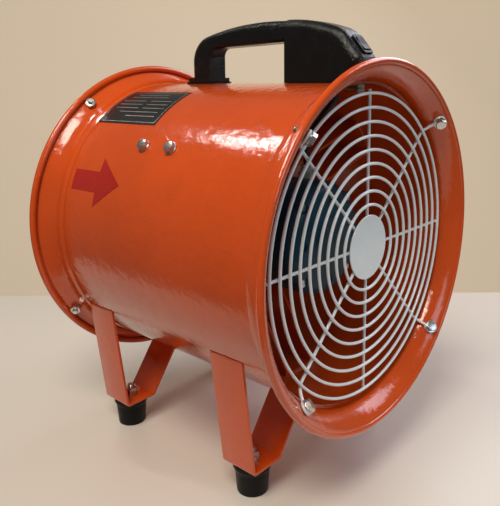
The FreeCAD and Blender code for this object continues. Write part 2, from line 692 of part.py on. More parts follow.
def foot_plate():
    pitch = BLADE_SECTIONS[0][2]
    pad = Part.makeBox(38, 19, 30, V(-19, -13, AXIS_Z + 35))
    pad.rotate(V(0, 0, 0), Z, pitch)
    pad.translate(V(0, st(BLADE_STATION), 0))
    return pad.common(ring(HUB_R + 2.5, HUB_R, HUB_FRONT + 1, HUB_REAR - 1))


RIVET_ALONG, RIVET_ASIDE = 8.0, 5.5
RIVET_HEAD_R, RIVET_TAIL_R = 3.4, 2.6


def rivet_seats():
    a = math.radians(BLADE_SECTIONS[0][2])
    seats = []
    for along in (-RIVET_ALONG, RIVET_ALONG):
        x = along * math.cos(a) + RIVET_ASIDE * math.sin(a)
        y = along * math.sin(a) - RIVET_ASIDE * math.cos(a)
        seats.append(V(x, st(BLADE_STATION) + y, AXIS_Z))
    return seats


def rivet(seat):
    # the flat heads touch the curved foot and the curved hub wall at their nearest edges
    near, far = max(abs(seat.x) - RIVET_HEAD_R, 0), abs(seat.x) + RIVET_TAIL_R
    high = math.sqrt((HUB_R + 2.5) ** 2 - near ** 2)
    low = math.sqrt((HUB_R - 3) ** 2 - far ** 2)
    shank = rod(2.0, seat + Z * low, Z, high - low)
    heads = [rod(RIVET_HEAD_R, seat + Z * high, Z, 1.4), rod(RIVET_TAIL_R, seat + Z * (low - 1.2), Z, 1.2)]
    return fuse([shank] + heads)


rivet_holes = [rod(2.0, seat + Z * 30, Z, 40) for seat in rivet_seats()]
blade = Part.makeLoft([blade_section(*s) for s in BLADE_SECTIONS], True, False)
blade = blade.common(ring(TIP_R, HUB_R, 220, 280))
blade = cut_all(fuse([blade, foot_plate()]), rivet_holes)
save("impeller_blades", spread(blade, BLADE_COUNT))
save("blade_rivets", [turned(rivet(seat), k * 60) for k in range(BLADE_COUNT) for seat in rivet_seats()])

boss_line = [(HUB_R, HUB_FRONT), (HUB_R, HUB_REAR), (HUB_R - 3, HUB_REAR), (HUB_R - 3, HUB_FRONT + 4),
             (18, HUB_FRONT + 4), (16, HUB_REAR - 0.5), (SHAFT_R, HUB_REAR - 0.5), (SHAFT_R, HUB_FRONT)]
hub_cuts = [key_slot] + [turned(h, k * 60) for k in range(BLADE_COUNT) for h in rivet_holes]
save("impeller_hub", cut_all(spin(boss_line), hub_cuts))
hub_end = V(0, st(HUB_REAR - 0.5), AXIS_Z)
save("hub_washer", washer(12, 4.2, 2, hub_end, Y))
save("hub_screw", fuse([hexagon(13, 5.3, hub_end + Y * 2, Y), rod(4.0, hub_end + Y * 2, Y * -1, 18)]))
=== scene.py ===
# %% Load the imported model
import math

import bmesh
import bpy
from mathutils import Matrix, Vector


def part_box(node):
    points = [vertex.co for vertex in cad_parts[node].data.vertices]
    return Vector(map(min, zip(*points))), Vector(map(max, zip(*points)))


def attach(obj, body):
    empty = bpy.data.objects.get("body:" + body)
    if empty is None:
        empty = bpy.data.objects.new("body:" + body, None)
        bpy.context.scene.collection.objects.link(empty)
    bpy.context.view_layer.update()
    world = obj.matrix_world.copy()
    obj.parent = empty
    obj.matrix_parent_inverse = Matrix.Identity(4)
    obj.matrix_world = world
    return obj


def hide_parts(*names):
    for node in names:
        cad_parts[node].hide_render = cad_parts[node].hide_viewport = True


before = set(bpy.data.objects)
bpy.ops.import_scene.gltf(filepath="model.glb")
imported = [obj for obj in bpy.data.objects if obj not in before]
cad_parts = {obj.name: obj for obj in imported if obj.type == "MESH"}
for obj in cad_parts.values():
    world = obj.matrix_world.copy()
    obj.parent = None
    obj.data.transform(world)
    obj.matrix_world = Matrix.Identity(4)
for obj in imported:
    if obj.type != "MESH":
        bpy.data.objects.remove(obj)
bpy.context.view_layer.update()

# %% [markdown]
# A portable duct fan is mostly sheet metal turned about one line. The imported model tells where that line
# runs: the duct tube's box gives its height, its radius and both ends. Distances along the duct are
# called stations here and are counted from the front lip, so a piece at the back of the duct is the same
# piece at a mirrored station. Angles go round the duct from its top.

# %% Measure the duct
MM = 0.001
SHEET = 1.5 * MM
tube_low, tube_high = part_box("duct_tube")
lip_low, lip_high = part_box("front_bellmouth")
rear_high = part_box("rear_bellmouth")[1]
AXIS_Z = (tube_low.z + tube_high.z) / 2
DUCT_R = (tube_high.x - tube_low.x) / 2
FRONT_Y = lip_low.y
LENGTH = rear_high.y - lip_low.y
LIP_R = (lip_high.x - lip_low.x) / 2
print("axis height %.3f, duct radius %.4f, length %.3f, lip radius %.4f" % (AXIS_Z, DUCT_R, LENGTH, LIP_R))


def on_duct(angle, radius, station):
    """A point from its angle in degrees, its radius and its station along the duct."""
    a = math.radians(angle)
    return Vector((radius * math.sin(a), FRONT_Y + station, AXIS_Z + radius * math.cos(a)))


def outward(angle):
    a = math.radians(angle)
    return Vector((math.sin(a), 0, math.cos(a)))


# %% [markdown]
# The camera comes first. It stands at the left of the front mouth, a little above the duct, and its lens
# is shifted slightly because the fan doesn't sit in the middle of the frame.


# %% Camera
def linked(name, data):
    """A new object for the data, linked into the scene."""
    made = bpy.data.objects.new(name, data)
    bpy.context.collection.objects.link(made)
    return made


AZIMUTH, ELEVATION, ROLL = math.radians(-48.88), math.radians(11.096), math.radians(-0.441)
CAMERA_PLACE = (-0.4817, -0.4401, 0.3853)
camera_data = bpy.data.cameras.new("studio_camera")
camera = linked("studio_camera", camera_data)
back = Vector((math.sin(AZIMUTH) * math.cos(ELEVATION), -math.cos(AZIMUTH) * math.cos(ELEVATION),
               math.sin(ELEVATION)))
turn = (-back).to_track_quat("-Z", "Y").to_matrix() @ Matrix.Rotation(ROLL, 3, "Z")
camera.matrix_world = Matrix.Translation(CAMERA_PLACE) @ turn.to_4x4()
camera_data.sensor_width = 36
camera_data.lens = 43.32
camera_data.shift_x, camera_data.shift_y = -0.0345, -0.0987
camera_data.clip_start, camera_data.clip_end = 0.02, 30
bpy.context.scene.camera = camera
print("camera at", [round(c, 3) for c in camera.location])

# %% [markdown]
# Finishes are built from small node groups. Sprayed enamel, powder coat and cast skins all have a fine
# ripple called orange peel, so one group makes that ripple for every paint. It only puts out a colour, a
# roughness and a normal; the shader stays in the material, where its constants are set.


# %% Node helpers
def new_group(name, inputs, outputs):
    """A shader node group with named sockets: (name, kind, value) for inputs, (name, kind) for outputs."""
    tree = bpy.data.node_groups.new(name, "ShaderNodeTree")
    for label, kind, value in inputs:
        socket = tree.interface.new_socket(label, in_out="INPUT", socket_type="NodeSocket" + kind)
        socket.default_value = value
    for label, kind in outputs:
        tree.interface.new_socket(label, in_out="OUTPUT", socket_type="NodeSocket" + kind)
    return tree, tree.nodes.new("NodeGroupInput"), tree.nodes.new("NodeGroupOutput")


def add(tree, kind, settings=None, **links):
    """A node with its settings, its sockets fed by values or by other sockets."""
    node = tree.nodes.new(kind)
    for key, value in (settings or {}).items():
        setattr(node, key, value)
    for key, value in links.items():
        name = key.replace("_", " ")
        socket = node.inputs[int(key[1:])] if key[0] == "i" and key[1:].isdigit() else node.inputs[name]
        if isinstance(value, bpy.types.NodeSocket):
            tree.links.new(value, socket)
        else:
            socket.default_value = value
    return node


def maths(tree, operation, first, second=0.0, third=0.0):
    node = add(tree, "ShaderNodeMath", {"operation": operation}, i0=first, i1=second, i2=third)
    return node.outputs[0]


def spread(tree, value, low, high, to_low=0.0, to_high=1.0):
    node = add(tree, "ShaderNodeMapRange", {"interpolation_type": "SMOOTHSTEP"}, i0=value, i1=low, i2=high,
               i3=to_low, i4=to_high)
    return node.outputs[0]


def blend_colours(tree, factor, first, second):
    node = add(tree, "ShaderNodeMix", {"data_type": "RGBA"}, i0=factor, i6=first, i7=second)
    return node.outputs[2]


def noise(tree, vector, scale, detail=2.0, rough=0.5):
    node = add(tree, "ShaderNodeTexNoise", Vector=vector, Scale=scale, Detail=detail, Roughness=rough)
    return node.outputs[0]


print("node helpers ready")

# %% [markdown]
# Orange peel has two sizes at once: a fine ripple from the droplets and a broad one from the paint's sag.
# Both are noises added into one height, which a Bump node turns into the normal. A slow patchy noise shifts
# the colour a little, and small specks in the roughness stand for settled overspray.


# %% Group: orange peel
peel, peel_in, peel_out = new_group(
    "orange_peel",
    [("Colour", "Color", (0.8, 0.8, 0.8, 1)), ("Ripple", "Float", 1.0), ("Size", "Float", 300.0),
     ("Gloss Roughness", "Float", 0.2), ("Mottle", "Float", 0.05)],
    [("Colour", "Color"), ("Roughness", "Float"), ("Normal", "Vector")])
place = add(peel, "ShaderNodeTexCoord").outputs["Object"]
fine = noise(peel, place, peel_in.outputs["Size"], 2.0, 0.45)
broad_size = maths(peel, "MULTIPLY", peel_in.outputs["Size"], 0.22)
broad = noise(peel, place, broad_size, 1.0, 0.4)
BROAD_SHARE = 2.4
both = maths(peel, "MULTIPLY_ADD", broad, BROAD_SHARE, fine)
ripple = add(peel, "ShaderNodeBump", Height=both, Strength=1.0)
peel.links.new(maths(peel, "MULTIPLY", peel_in.outputs["Ripple"], 0.1 * MM), ripple.inputs["Distance"])
patches = noise(peel, place, 14.0, 3.0, 0.6)
shade = spread(peel, patches, 0.3, 0.7, -1.0, 1.0)
change = maths(peel, "MULTIPLY_ADD", shade, peel_in.outputs["Mottle"], 1.0)
toned = add(peel, "ShaderNodeVectorMath", {"operation": "SCALE"}, i0=peel_in.outputs["Colour"],
            Scale=change)
peel.links.new(toned.outputs[0], peel_out.inputs["Colour"])
specks = spread(peel, noise(peel, place, 700.0, 2.0, 0.6), 0.62, 0.72, 0.0, 0.10)
speckled = maths(peel, "ADD", peel_in.outputs["Gloss Roughness"], specks)
peel.links.new(speckled, peel_out.inputs["Roughness"])
peel.links.new(ripple.outputs[0], peel_out.inputs["Normal"])
print("group:", peel.name)

# %% [markdown]
# Moulded nylon and rubber have a pebbled skin, copied from the etched face of the mould. A second group
# makes it from rounded cells, with a little settled dust on the faces that look up.

# %% Group: moulded grain
grain, grain_in, grain_out = new_group(
    "moulded_grain",
    [("Colour", "Color", (0.02, 0.02, 0.02, 1)), ("Dust Colour", "Color", (0.3, 0.28, 0.25, 1)),
     ("Cell Size", "Float", 900.0), ("Depth", "Float", 1.0), ("Dust", "Float", 0.1),
     ("Skin Roughness", "Float", 0.5)],
    [("Colour", "Color"), ("Roughness", "Float"), ("Normal", "Vector")])
place = add(grain, "ShaderNodeTexCoord").outputs["Object"]
cells = add(grain, "ShaderNodeTexVoronoi", {"feature": "SMOOTH_F1"}, Vector=place,
            Scale=grain_in.outputs["Cell Size"], Smoothness=0.7)
worm = noise(grain, place, maths(grain, "MULTIPLY", grain_in.outputs["Cell Size"], 0.8), 2.0)
height = maths(grain, "MULTIPLY_ADD", cells.outputs["Distance"], 0.8, worm)
skin = add(grain, "ShaderNodeBump", Height=height, Strength=1.0)
grain.links.new(maths(grain, "MULTIPLY", grain_in.outputs["Depth"], 0.1 * MM), skin.inputs["Distance"])
facing_way = add(grain, "ShaderNodeNewGeometry").outputs["Normal"]
up = add(grain, "ShaderNodeSeparateXYZ", i0=facing_way).outputs["Z"]
drift = spread(grain, noise(grain, place, 60.0, 4.0, 0.7), 0.35, 0.75)
settled = maths(grain, "MULTIPLY", spread(grain, up, 0.1, 1.0), drift)
amount = maths(grain, "MULTIPLY", settled, grain_in.outputs["Dust"])
dusty = blend_colours(grain, amount, grain_in.outputs["Colour"], grain_in.outputs["Dust Colour"])
grain.links.new(dusty, grain_out.inputs["Colour"])
uneven = spread(grain, noise(grain, place, 35.0, 3.0), 0.3, 0.7, -0.06, 0.08)
worn = maths(grain, "ADD", grain_in.outputs["Skin Roughness"], uneven)
grain.links.new(maths(grain, "ADD", worn, amount), grain_out.inputs["Roughness"])
grain.links.new(skin.outputs[0], grain_out.inputs["Normal"])
print("group:", grain.name)

# %% [markdown]
# Plated and turned metal gets a third group. Zinc is never one even colour, so a cloudy noise blends in a
# warmer tint, and a noise stretched along one way leaves fine scratches in its roughness.

# %% Group: bright metal
bright, bright_in, bright_out = new_group(
    "bright_metal",
    [("Colour", "Color", (0.7, 0.7, 0.7, 1)), ("Tint", "Color", (0.6, 0.55, 0.4, 1)),
     ("Cloud", "Float", 0.3), ("Metal Roughness", "Float", 0.25), ("Scratch", "Float", 0.15)],
    [("Colour", "Color"), ("Roughness", "Float"), ("Normal", "Vector")])
place = add(bright, "ShaderNodeTexCoord").outputs["Object"]
cloud = maths(bright, "MULTIPLY", spread(bright, noise(bright, place, 160.0, 3.0), 0.35, 0.7),
              bright_in.outputs["Cloud"])
clouded = blend_colours(bright, cloud, bright_in.outputs["Colour"], bright_in.outputs["Tint"])
bright.links.new(clouded, bright_out.inputs["Colour"])
stretched = add(bright, "ShaderNodeMapping", i0=place, Scale=(1.0, 7.0, 1.0)).outputs[0]
lines = noise(bright, stretched, 900.0, 3.0, 0.7)
rubbed = maths(bright, "MULTIPLY", spread(bright, lines, 0.4, 0.7), bright_in.outputs["Scratch"])
scratched = maths(bright, "ADD", bright_in.outputs["Metal Roughness"], rubbed)
bright.links.new(scratched, bright_out.inputs["Roughness"])
dents = add(bright, "ShaderNodeBump", Height=lines, Strength=0.25, Distance=0.05 * MM)
bright.links.new(dents.outputs[0], bright_out.inputs["Normal"])
print("group:", bright.name)

# %% [markdown]
# A finish is one of the groups feeding a Principled shader. Values that are the same all over, such as the
# lacquer's weight or the shine, are set on the shader's own sockets. Three small makers, for enamel, moulded
# and metal, give each kind its usual values, so a finish is one short call.


# %% Finish makers
def finish_from(name, group, group_values, **shader_values):
    """A material whose Principled shader is fed by one of the groups."""
    made = bpy.data.materials.new(name)
    made.use_nodes = True
    tree = made.node_tree
    tree.nodes.clear()
    skin_node = add(tree, "ShaderNodeGroup", {"node_tree": group})
    for label, value in group_values.items():
        skin_node.inputs[label].default_value = value
    shader = add(tree, "ShaderNodeBsdfPrincipled")
    for label, value in shader_values.items():
        shader.inputs[label.replace("_", " ")].default_value = value
    for label, socket in (("Colour", "Base Color"), ("Roughness", "Roughness"), ("Normal", "Normal")):
        tree.links.new(skin_node.outputs[label], shader.inputs[socket])
    if group is peel:
        tree.links.new(skin_node.outputs["Normal"], shader.inputs["Coat Normal"])
    end = add(tree, "ShaderNodeOutputMaterial")
    tree.links.new(shader.outputs[0], end.inputs[0])
    return made


def enamel(name, colour, ripple=1.0, size=300.0, rough=0.18, mottle=0.05, coat=0.4, shine=0.5):
    values = {"Colour": (*colour, 1), "Ripple": ripple, "Size": size, "Gloss Roughness": rough,
              "Mottle": mottle}
    return finish_from(name, peel, values, Coat_Weight=coat, Coat_Roughness=0.03, Specular_IOR_Level=shine)


def moulded(name, colour, cell=900.0, depth=1.0, dust=0.1, rough=0.5, shine=0.45):
    values = {"Colour": (*colour, 1), "Cell Size": cell, "Depth": depth, "Dust": dust,
              "Skin Roughness": rough}
    return finish_from(name, grain, values, Specular_IOR_Level=shine)


def metal(name, colour, tint, cloud=0.3, rough=0.25, scratch=0.15):
    values = {"Colour": (*colour, 1), "Tint": (*tint, 1), "Cloud": cloud, "Metal Roughness": rough,
              "Scratch": scratch}
    return finish_from(name, bright, values, Metallic=1.0)


print("finish makers ready, groups:", len(bpy.data.node_groups))

# %% [markdown]
# The tube, bellmouths and stands share one orange enamel under a clear gloss. The guards are pale, the motor
# is dark teal and the wheel is near black. Colours are given as linear values, which look darker as numbers
# than they do on the fan. Duller kinds of plastic and rubber are told apart by their shine and their grain.

# %% The fan's finishes
duct_enamel = enamel("duct_enamel", (0.62, 0.076, 0.009), ripple=1.6, size=560, rough=0.16, coat=1.0,
                     shine=0.15)
arrow_enamel = enamel("arrow_enamel", (0.40, 0.016, 0.008), size=260, rough=0.22, mottle=0.08)
# The guards' paint is white. The cool blue tint in this colour is painted reflection of the cool front lamp.
guard_enamel = enamel("guard_enamel", (0.80, 0.85, 0.88), ripple=0.4, size=600, rough=0.22, mottle=0.03,
                      coat=0.5)
motor_enamel = enamel("motor_enamel", (0.005, 0.060, 0.100), ripple=1.2, size=350, rough=0.4, mottle=0.15,
                      coat=0.2, shine=0.2)
blade_enamel = enamel("blade_enamel", (0.016, 0.016, 0.018), ripple=0.8, size=350, rough=0.3, mottle=0.12)
plate_enamel = enamel("plate_enamel", (0.010, 0.010, 0.011), ripple=0.3, rough=0.22, mottle=0.1, coat=0.3)
handle_nylon = moulded("handle_nylon", (0.005, 0.005, 0.005), 800, depth=4.5, dust=0.01, rough=0.22,
                       shine=0.35)
gloss_nylon = moulded("gloss_nylon", (0.004, 0.004, 0.005), 2500, depth=0.2, dust=0.01, rough=0.4, shine=0.15)
foot_rubber = moulded("foot_rubber", (0.005, 0.005, 0.005), 1600, depth=0.6, dust=0.02, rough=0.4, shine=0.15)
lead_rubber = moulded("lead_rubber", (0.008, 0.008, 0.009), 1800, depth=0.3, dust=0.05, rough=0.4)
gland_nylon = moulded("gland_nylon", (0.33, 0.42, 0.36), 2000, depth=0.2, dust=0.05, rough=0.4)
case_white = moulded("case_white", (0.62, 0.62, 0.58), 2000, depth=0.2, dust=0.05, rough=0.35)
earth_green = moulded("earth_green", (0.10, 0.30, 0.03), 2200, depth=0.2, dust=0.05, rough=0.4)
zinc_plate = metal("zinc_plate", (0.62, 0.63, 0.64), (0.50, 0.47, 0.38), 0.5, 0.22, 0.2)
turned_steel = metal("turned_steel", (0.48, 0.48, 0.49), (0.36, 0.34, 0.31), 0.4, 0.3, 0.2)
ground_steel = metal("ground_steel", (0.62, 0.62, 0.64), (0.52, 0.52, 0.54), 0.2, 0.12, 0.08)
plain_brass = metal("plain_brass", (0.62, 0.42, 0.14), (0.42, 0.26, 0.09), 0.4, 0.3, 0.2)
winding_copper = metal("winding_copper", (0.50, 0.18, 0.07), (0.32, 0.10, 0.04), 0.5, 0.35, 0.2)
plate_border = metal("plate_border", (0.58, 0.57, 0.55), (0.45, 0.43, 0.40), 0.3, 0.4, 0.2)
print("finishes:", len(bpy.data.materials))

# %% [markdown]
# Most of the casing is turned, so a small lathe does the work: it takes a closed outline of radius and
# station pairs and carries it round an axis. Sharp corners of sheet metal are never quite sharp, so a
# helper first swaps each corner of an outline for a short curve.


# %% Outline and lathe helpers
def rounded_line(corners, radii, steps=4, closed=True):
    """The outline with each corner swapped for a curve of about the given radius."""
    count = len(corners)
    radii = radii if isinstance(radii, (list, tuple)) else [radii] * count
    points = []
    for k, corner in enumerate(corners):
        here = Vector(corner)
        if radii[k] <= 0 or (not closed and k in (0, count - 1)):
            points.append(here)
            continue
        before, after = Vector(corners[k - 1]) - here, Vector(corners[(k + 1) % count]) - here
        half = before.angle(after) / 2
        reach = min(radii[k] / math.tan(half), before.length * 0.48, after.length * 0.48)
        start, end = here + before.normalized() * reach, here + after.normalized() * reach
        for j in range(steps + 1):
            t = j / steps
            points.append(start * (1 - t) ** 2 + here * (2 * t * (1 - t)) + end * t ** 2)
    return points


def painted_piece(name, shape, finish, smooth):
    """A bmesh made an object, painted, and shaded smooth except at sharp corners."""
    mesh = bpy.data.meshes.new(name)
    shape.to_mesh(mesh)
    shape.free()
    mesh.materials.append(finish)
    mesh.polygons.foreach_set("use_smooth", [True] * len(mesh.polygons))
    mesh.set_sharp_from_angle(angle=math.radians(smooth))
    return linked(name, mesh)


def finish_mesh(name, shape, finish, smooth=40):
    """Merges the doubles of a built shape, turns its faces outward and makes it a piece."""
    bmesh.ops.remove_doubles(shape, verts=shape.verts, dist=1e-6)
    bmesh.ops.recalc_face_normals(shape, faces=shape.faces)
    return painted_piece(name, shape, finish, smooth)


def settle(piece, body, slot, *nodes):
    """Joins a finished piece to its body and hides the CAD nodes it stands for. The slot is not used."""
    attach(piece, body)
    if nodes:
        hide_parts(*nodes)
    return piece


def grid_faces(shape, rows, loop_rows=True, loop_columns=True):
    """Quads between neighbouring rows of vertices."""
    pairs = list(zip(rows, rows[1:] + rows[:1])) if loop_rows else list(zip(rows, rows[1:]))
    for first, second in pairs:
        last = len(first) if loop_columns else len(first) - 1
        for j in range(last):
            n = (j + 1) % len(first)
            shape.faces.new((first[j], first[n], second[n], second[j]))


def lathe(shape, outline, place, steps=240):
    """Adds a closed outline of (radius, along) carried round an axis by place(radius, along, degrees)."""
    rows = []
    for k in range(steps):
        rows.append([shape.verts.new(place(p[0], p[1], 360 * k / steps)) for p in outline])
    grid_faces(shape, rows)


def round_duct(radius, station, degrees):
    return on_duct(degrees, radius, station)


print("a rounded square has", len(rounded_line([(0, 0), (1, 0), (1, 1), (0, 1)], 0.1)), "points")

# %% [markdown]
# The bellmouth is spun from one disc of sheet: a straight neck that laps the tube, a flare that curls out
# through about sixty degrees, and an edge rolled into a round bead that stiffens it and holds a hose. Its
# outline is walked once round, inside first. A narrow channel is left behind the bead, where the roll
# doesn't quite close, and the neck is faired down to the tube, as filler and paint leave it. The rear one is
# the same outline at mirrored stations.

# %% Bellmouths
NECK_END = 34 * MM
TUBE_END = tube_low.y - FRONT_Y
FLARE_R = 29.2 * MM
LIP_TURN = 60.8
BEAD_R = 3.3 * MM
BEAD_CENTRE = Vector((LIP_R - BEAD_R, BEAD_R))


def flare_point(turned, radius):
    a = math.radians(turned)
    return Vector((DUCT_R + FLARE_R - radius * math.cos(a), TUBE_END - radius * math.sin(a)))


def bead_point(degrees, radius=BEAD_R):
    a = math.radians(degrees)
    return BEAD_CENTRE + Vector((radius * math.cos(a), radius * math.sin(a)))


def bellmouth_outline():
    inner = [flare_point(LIP_TURN * k / 24, FLARE_R) for k in range(24)]
    groove = flare_point(LIP_TURN - 0.6, FLARE_R - 0.35 * MM)
    bead = [bead_point(-140 + 324 * k / 30) for k in range(31)]
    channel = [flare_point(58.6, FLARE_R - 0.4 * MM), flare_point(55.5, FLARE_R - 0.4 * MM)]
    outer = [flare_point(53.5 * (1 - k / 20), FLARE_R - SHEET) for k in range(21)]
    shoulder = Vector((DUCT_R + SHEET, TUBE_END + 1.2 * MM))
    neck_outer = Vector((DUCT_R + 0.35 * MM, NECK_END - 0.8 * MM))
    neck_tip = Vector((DUCT_R + 0.15 * MM, NECK_END))
    neck_inner = Vector((DUCT_R + 0.05 * MM, NECK_END))
    return inner + [groove] + bead + channel + outer + [shoulder, neck_outer, neck_tip, neck_inner]


def bellmouth(name, at_rear):
    shape = bmesh.new()
    outline = bellmouth_outline()
    if at_rear:
        outline = [Vector((p[0], LENGTH - p[1])) for p in outline]
    lathe(shape, outline, round_duct, 288)
    piece = finish_mesh(name, shape, duct_enamel, smooth=30)
    print(name, len(piece.data.polygons), "faces")
    return piece


for end in ("front", "rear"):
    settle(bellmouth(end + "_bell", end == "rear"), "casing", "duct_paint", end + "_bellmouth")

# %% [markdown]
# The tube is one rolled sheet, lapped along its length at the height of the stands. A step of under a
# millimetre marks the lap, and below it the sheet recovers its radius slowly. Rolls never leave a perfect
# cylinder, so the radius also wanders by a tenth of a millimetre, which bends the reflections.

# %% Duct tube
SEAM_ANGLE = -123.0
SEAM_STEP = 0.9 * MM
SEAM_SPREAD = 24.0


def tube_radius(degrees, station):
    t = min(((SEAM_ANGLE - degrees) % 360) / SEAM_SPREAD, 1.0)
    lap = SEAM_STEP * (1 - t * t * (3 - 2 * t))
    a = math.radians(degrees)
    wander = 0.09 * math.sin(3 * a + 1.1) + 0.06 * math.sin(5 * a + station * 17) * math.sin(station * 21)
    return DUCT_R - 0.12 * MM - lap + wander * MM * 0.6


def duct_tube():
    angles = [SEAM_ANGLE + 0.02 + k * 1.25 for k in range(288)] + [SEAM_ANGLE + 359.98]
    stations = [TUBE_END + (LENGTH - 2 * TUBE_END) * k / 36 for k in range(37)]
    shape = bmesh.new()
    rows = []
    for degrees in angles:
        outside = [on_duct(degrees, tube_radius(degrees, s), s) for s in stations]
        inside = [on_duct(degrees, tube_radius(degrees, s) - SHEET, s) for s in stations[::-1]]
        rows.append([shape.verts.new(p) for p in outside + inside])
    grid_faces(shape, rows)
    return finish_mesh("tube_shell", shape, duct_enamel, smooth=30)


tube = settle(duct_tube(), "casing", "duct_paint", "duct_tube")
print("tube faces", len(tube.data.polygons))

# %% [markdown]
# The guards are welded wire, and a rule fits them exactly: rings at an even pitch, eight spokes, and a loop
# round each of four bolts. A Geometry Nodes tree takes the counts and sizes as named inputs, draws the wires
# as curves, gives them one round profile, and drops a small weld blob wherever a spoke crosses a ring. The
# rear guard is the same tree, turned half round and nine degrees on.


# %% Geometry Nodes helpers
def geometry_tree(name, inputs):
    tree = bpy.data.node_groups.new(name, "GeometryNodeTree")
    tree.interface.new_socket("Geometry", in_out="INPUT", socket_type="NodeSocketGeometry")
    for label, kind in inputs:
        tree.interface.new_socket(label, in_out="INPUT", socket_type="NodeSocket" + kind)
    tree.interface.new_socket("Geometry", in_out="OUTPUT", socket_type="NodeSocketGeometry")
    return tree, tree.nodes.new("NodeGroupInput"), tree.nodes.new("NodeGroupOutput")


def close_tree(tree, shape, finish_socket, end):
    """Realize Instances, smooth shading and Set Material, in that order, then the output."""
    real = add(tree, "GeometryNodeRealizeInstances", Geometry=shape)
    smooth = add(tree, "GeometryNodeSetShadeSmooth", Geometry=real.outputs[0])
    painted = add(tree, "GeometryNodeSetMaterial", Geometry=smooth.outputs[0], Material=finish_socket)
    tree.links.new(painted.outputs[0], end.inputs[0])


def run_tree(name, tree, values, base=None, smooth=40):
    """Runs the tree once on a base mesh and keeps the result as a plain mesh object."""
    mesh = base or bpy.data.meshes.new(name + "_base")
    holder = linked(name + "_holder", mesh)
    modifier = holder.modifiers.new("tree", "NODES")
    modifier.node_group = tree
    for item in tree.interface.items_tree:
        if item.item_type == "SOCKET" and item.in_out == "INPUT" and item.name in values:
            modifier[item.identifier] = values[item.name]
    bpy.context.view_layer.update()
    evaluated = holder.evaluated_get(bpy.context.evaluated_depsgraph_get())
    result = bpy.data.meshes.new_from_object(evaluated)
    result.name = name
    holder.modifiers.remove(modifier)
    bpy.data.objects.remove(holder)
    result.set_sharp_from_angle(angle=math.radians(smooth))
    print(name, len(result.polygons), "faces")
    return linked(name, result)


def vector_of(tree, x=0.0, y=0.0, z=0.0):
    return add(tree, "ShaderNodeCombineXYZ", X=x, Y=y, Z=z).outputs[0]


def round_copies(tree, shape, count, first, step):
    """Copies of a shape turned about the Y axis."""
    line = add(tree, "GeometryNodeMeshLine", Count=count, Offset=(0, 0, 0)).outputs[0]
    index = add(tree, "GeometryNodeInputIndex").outputs[0]
    angle = maths(tree, "MULTIPLY_ADD", index, math.radians(step), math.radians(first))
    node = add(tree, "GeometryNodeInstanceOnPoints", Points=line, Instance=shape,
               Rotation=vector_of(tree, y=angle))
    return add(tree, "GeometryNodeRealizeInstances", Geometry=node.outputs[0]).outputs[0]


def moved(tree, shape, offset=(0, 0, 0), turned=(0, 0, 0)):
    node = add(tree, "GeometryNodeTransform", Geometry=shape, Translation=offset, Rotation=turned)
    return node.outputs[0]


def joined(tree, *shapes):
    node = add(tree, "GeometryNodeJoinGeometry")
    for shape in shapes:
        tree.links.new(shape, node.inputs[0])
    return node.outputs[0]


print("tree helpers ready")

# %% [markdown]
# Inside the tree, rings are one circle copied onto points and scaled. Plain spokes and bolt spokes are each
# drawn once and turned four times. A bolt spoke bends at its knee and ends in a loop tilted to lie on the
# flare. All wires share one round profile, and the weld blobs are placed by the same counts.

# %% Guard tree
guard, guard_in, guard_out = geometry_tree("welded_guard", [
    ("Rings", "Int"), ("Outer Radius", "Float"), ("Pitch", "Float"), ("Wire Radius", "Float"),
    ("Ring Depth", "Float"), ("Spoke Depth", "Float"), ("Inner Reach", "Float"), ("Knee Radius", "Float"),
    ("Loop Radius", "Float"), ("Loop Centre Radius", "Float"), ("Loop Centre Depth", "Float"),
    ("Loop Tilt", "Float"), ("Place", "Vector"), ("Turn", "Vector"), ("Finish", "Material")])
given = guard_in.outputs

index = add(guard, "GeometryNodeInputIndex").outputs[0]
ring_radius = maths(guard, "SUBTRACT", given["Outer Radius"], maths(guard, "MULTIPLY", index, given["Pitch"]))
unit_ring = add(guard, "GeometryNodeCurvePrimitiveCircle", Resolution=144, Radius=1.0).outputs[0]
unit_ring = moved(guard, unit_ring, turned=(math.pi / 2, 0, 0))
ring_points = add(guard, "GeometryNodeMeshLine", Count=given["Rings"], Offset=(0, 0, 0)).outputs[0]
rings = add(guard, "GeometryNodeInstanceOnPoints", Points=ring_points, Instance=unit_ring,
            Scale=vector_of(guard, ring_radius, ring_radius, ring_radius)).outputs[0]
rings = add(guard, "GeometryNodeRealizeInstances", Geometry=rings).outputs[0]
rings = moved(guard, rings, offset=vector_of(guard, y=given["Ring Depth"]))

inner_end = vector_of(guard, given["Inner Reach"], given["Spoke Depth"])
knee = vector_of(guard, given["Knee Radius"], given["Spoke Depth"])
BEND_REACH = 6 * MM
bend_start = maths(guard, "SUBTRACT", given["Knee Radius"], BEND_REACH)
before_knee = vector_of(guard, bend_start, given["Spoke Depth"])
straight = add(guard, "GeometryNodeCurvePrimitiveLine", Start=inner_end, End=knee).outputs[0]
spokes = round_copies(guard, straight, 4, 0, 90)

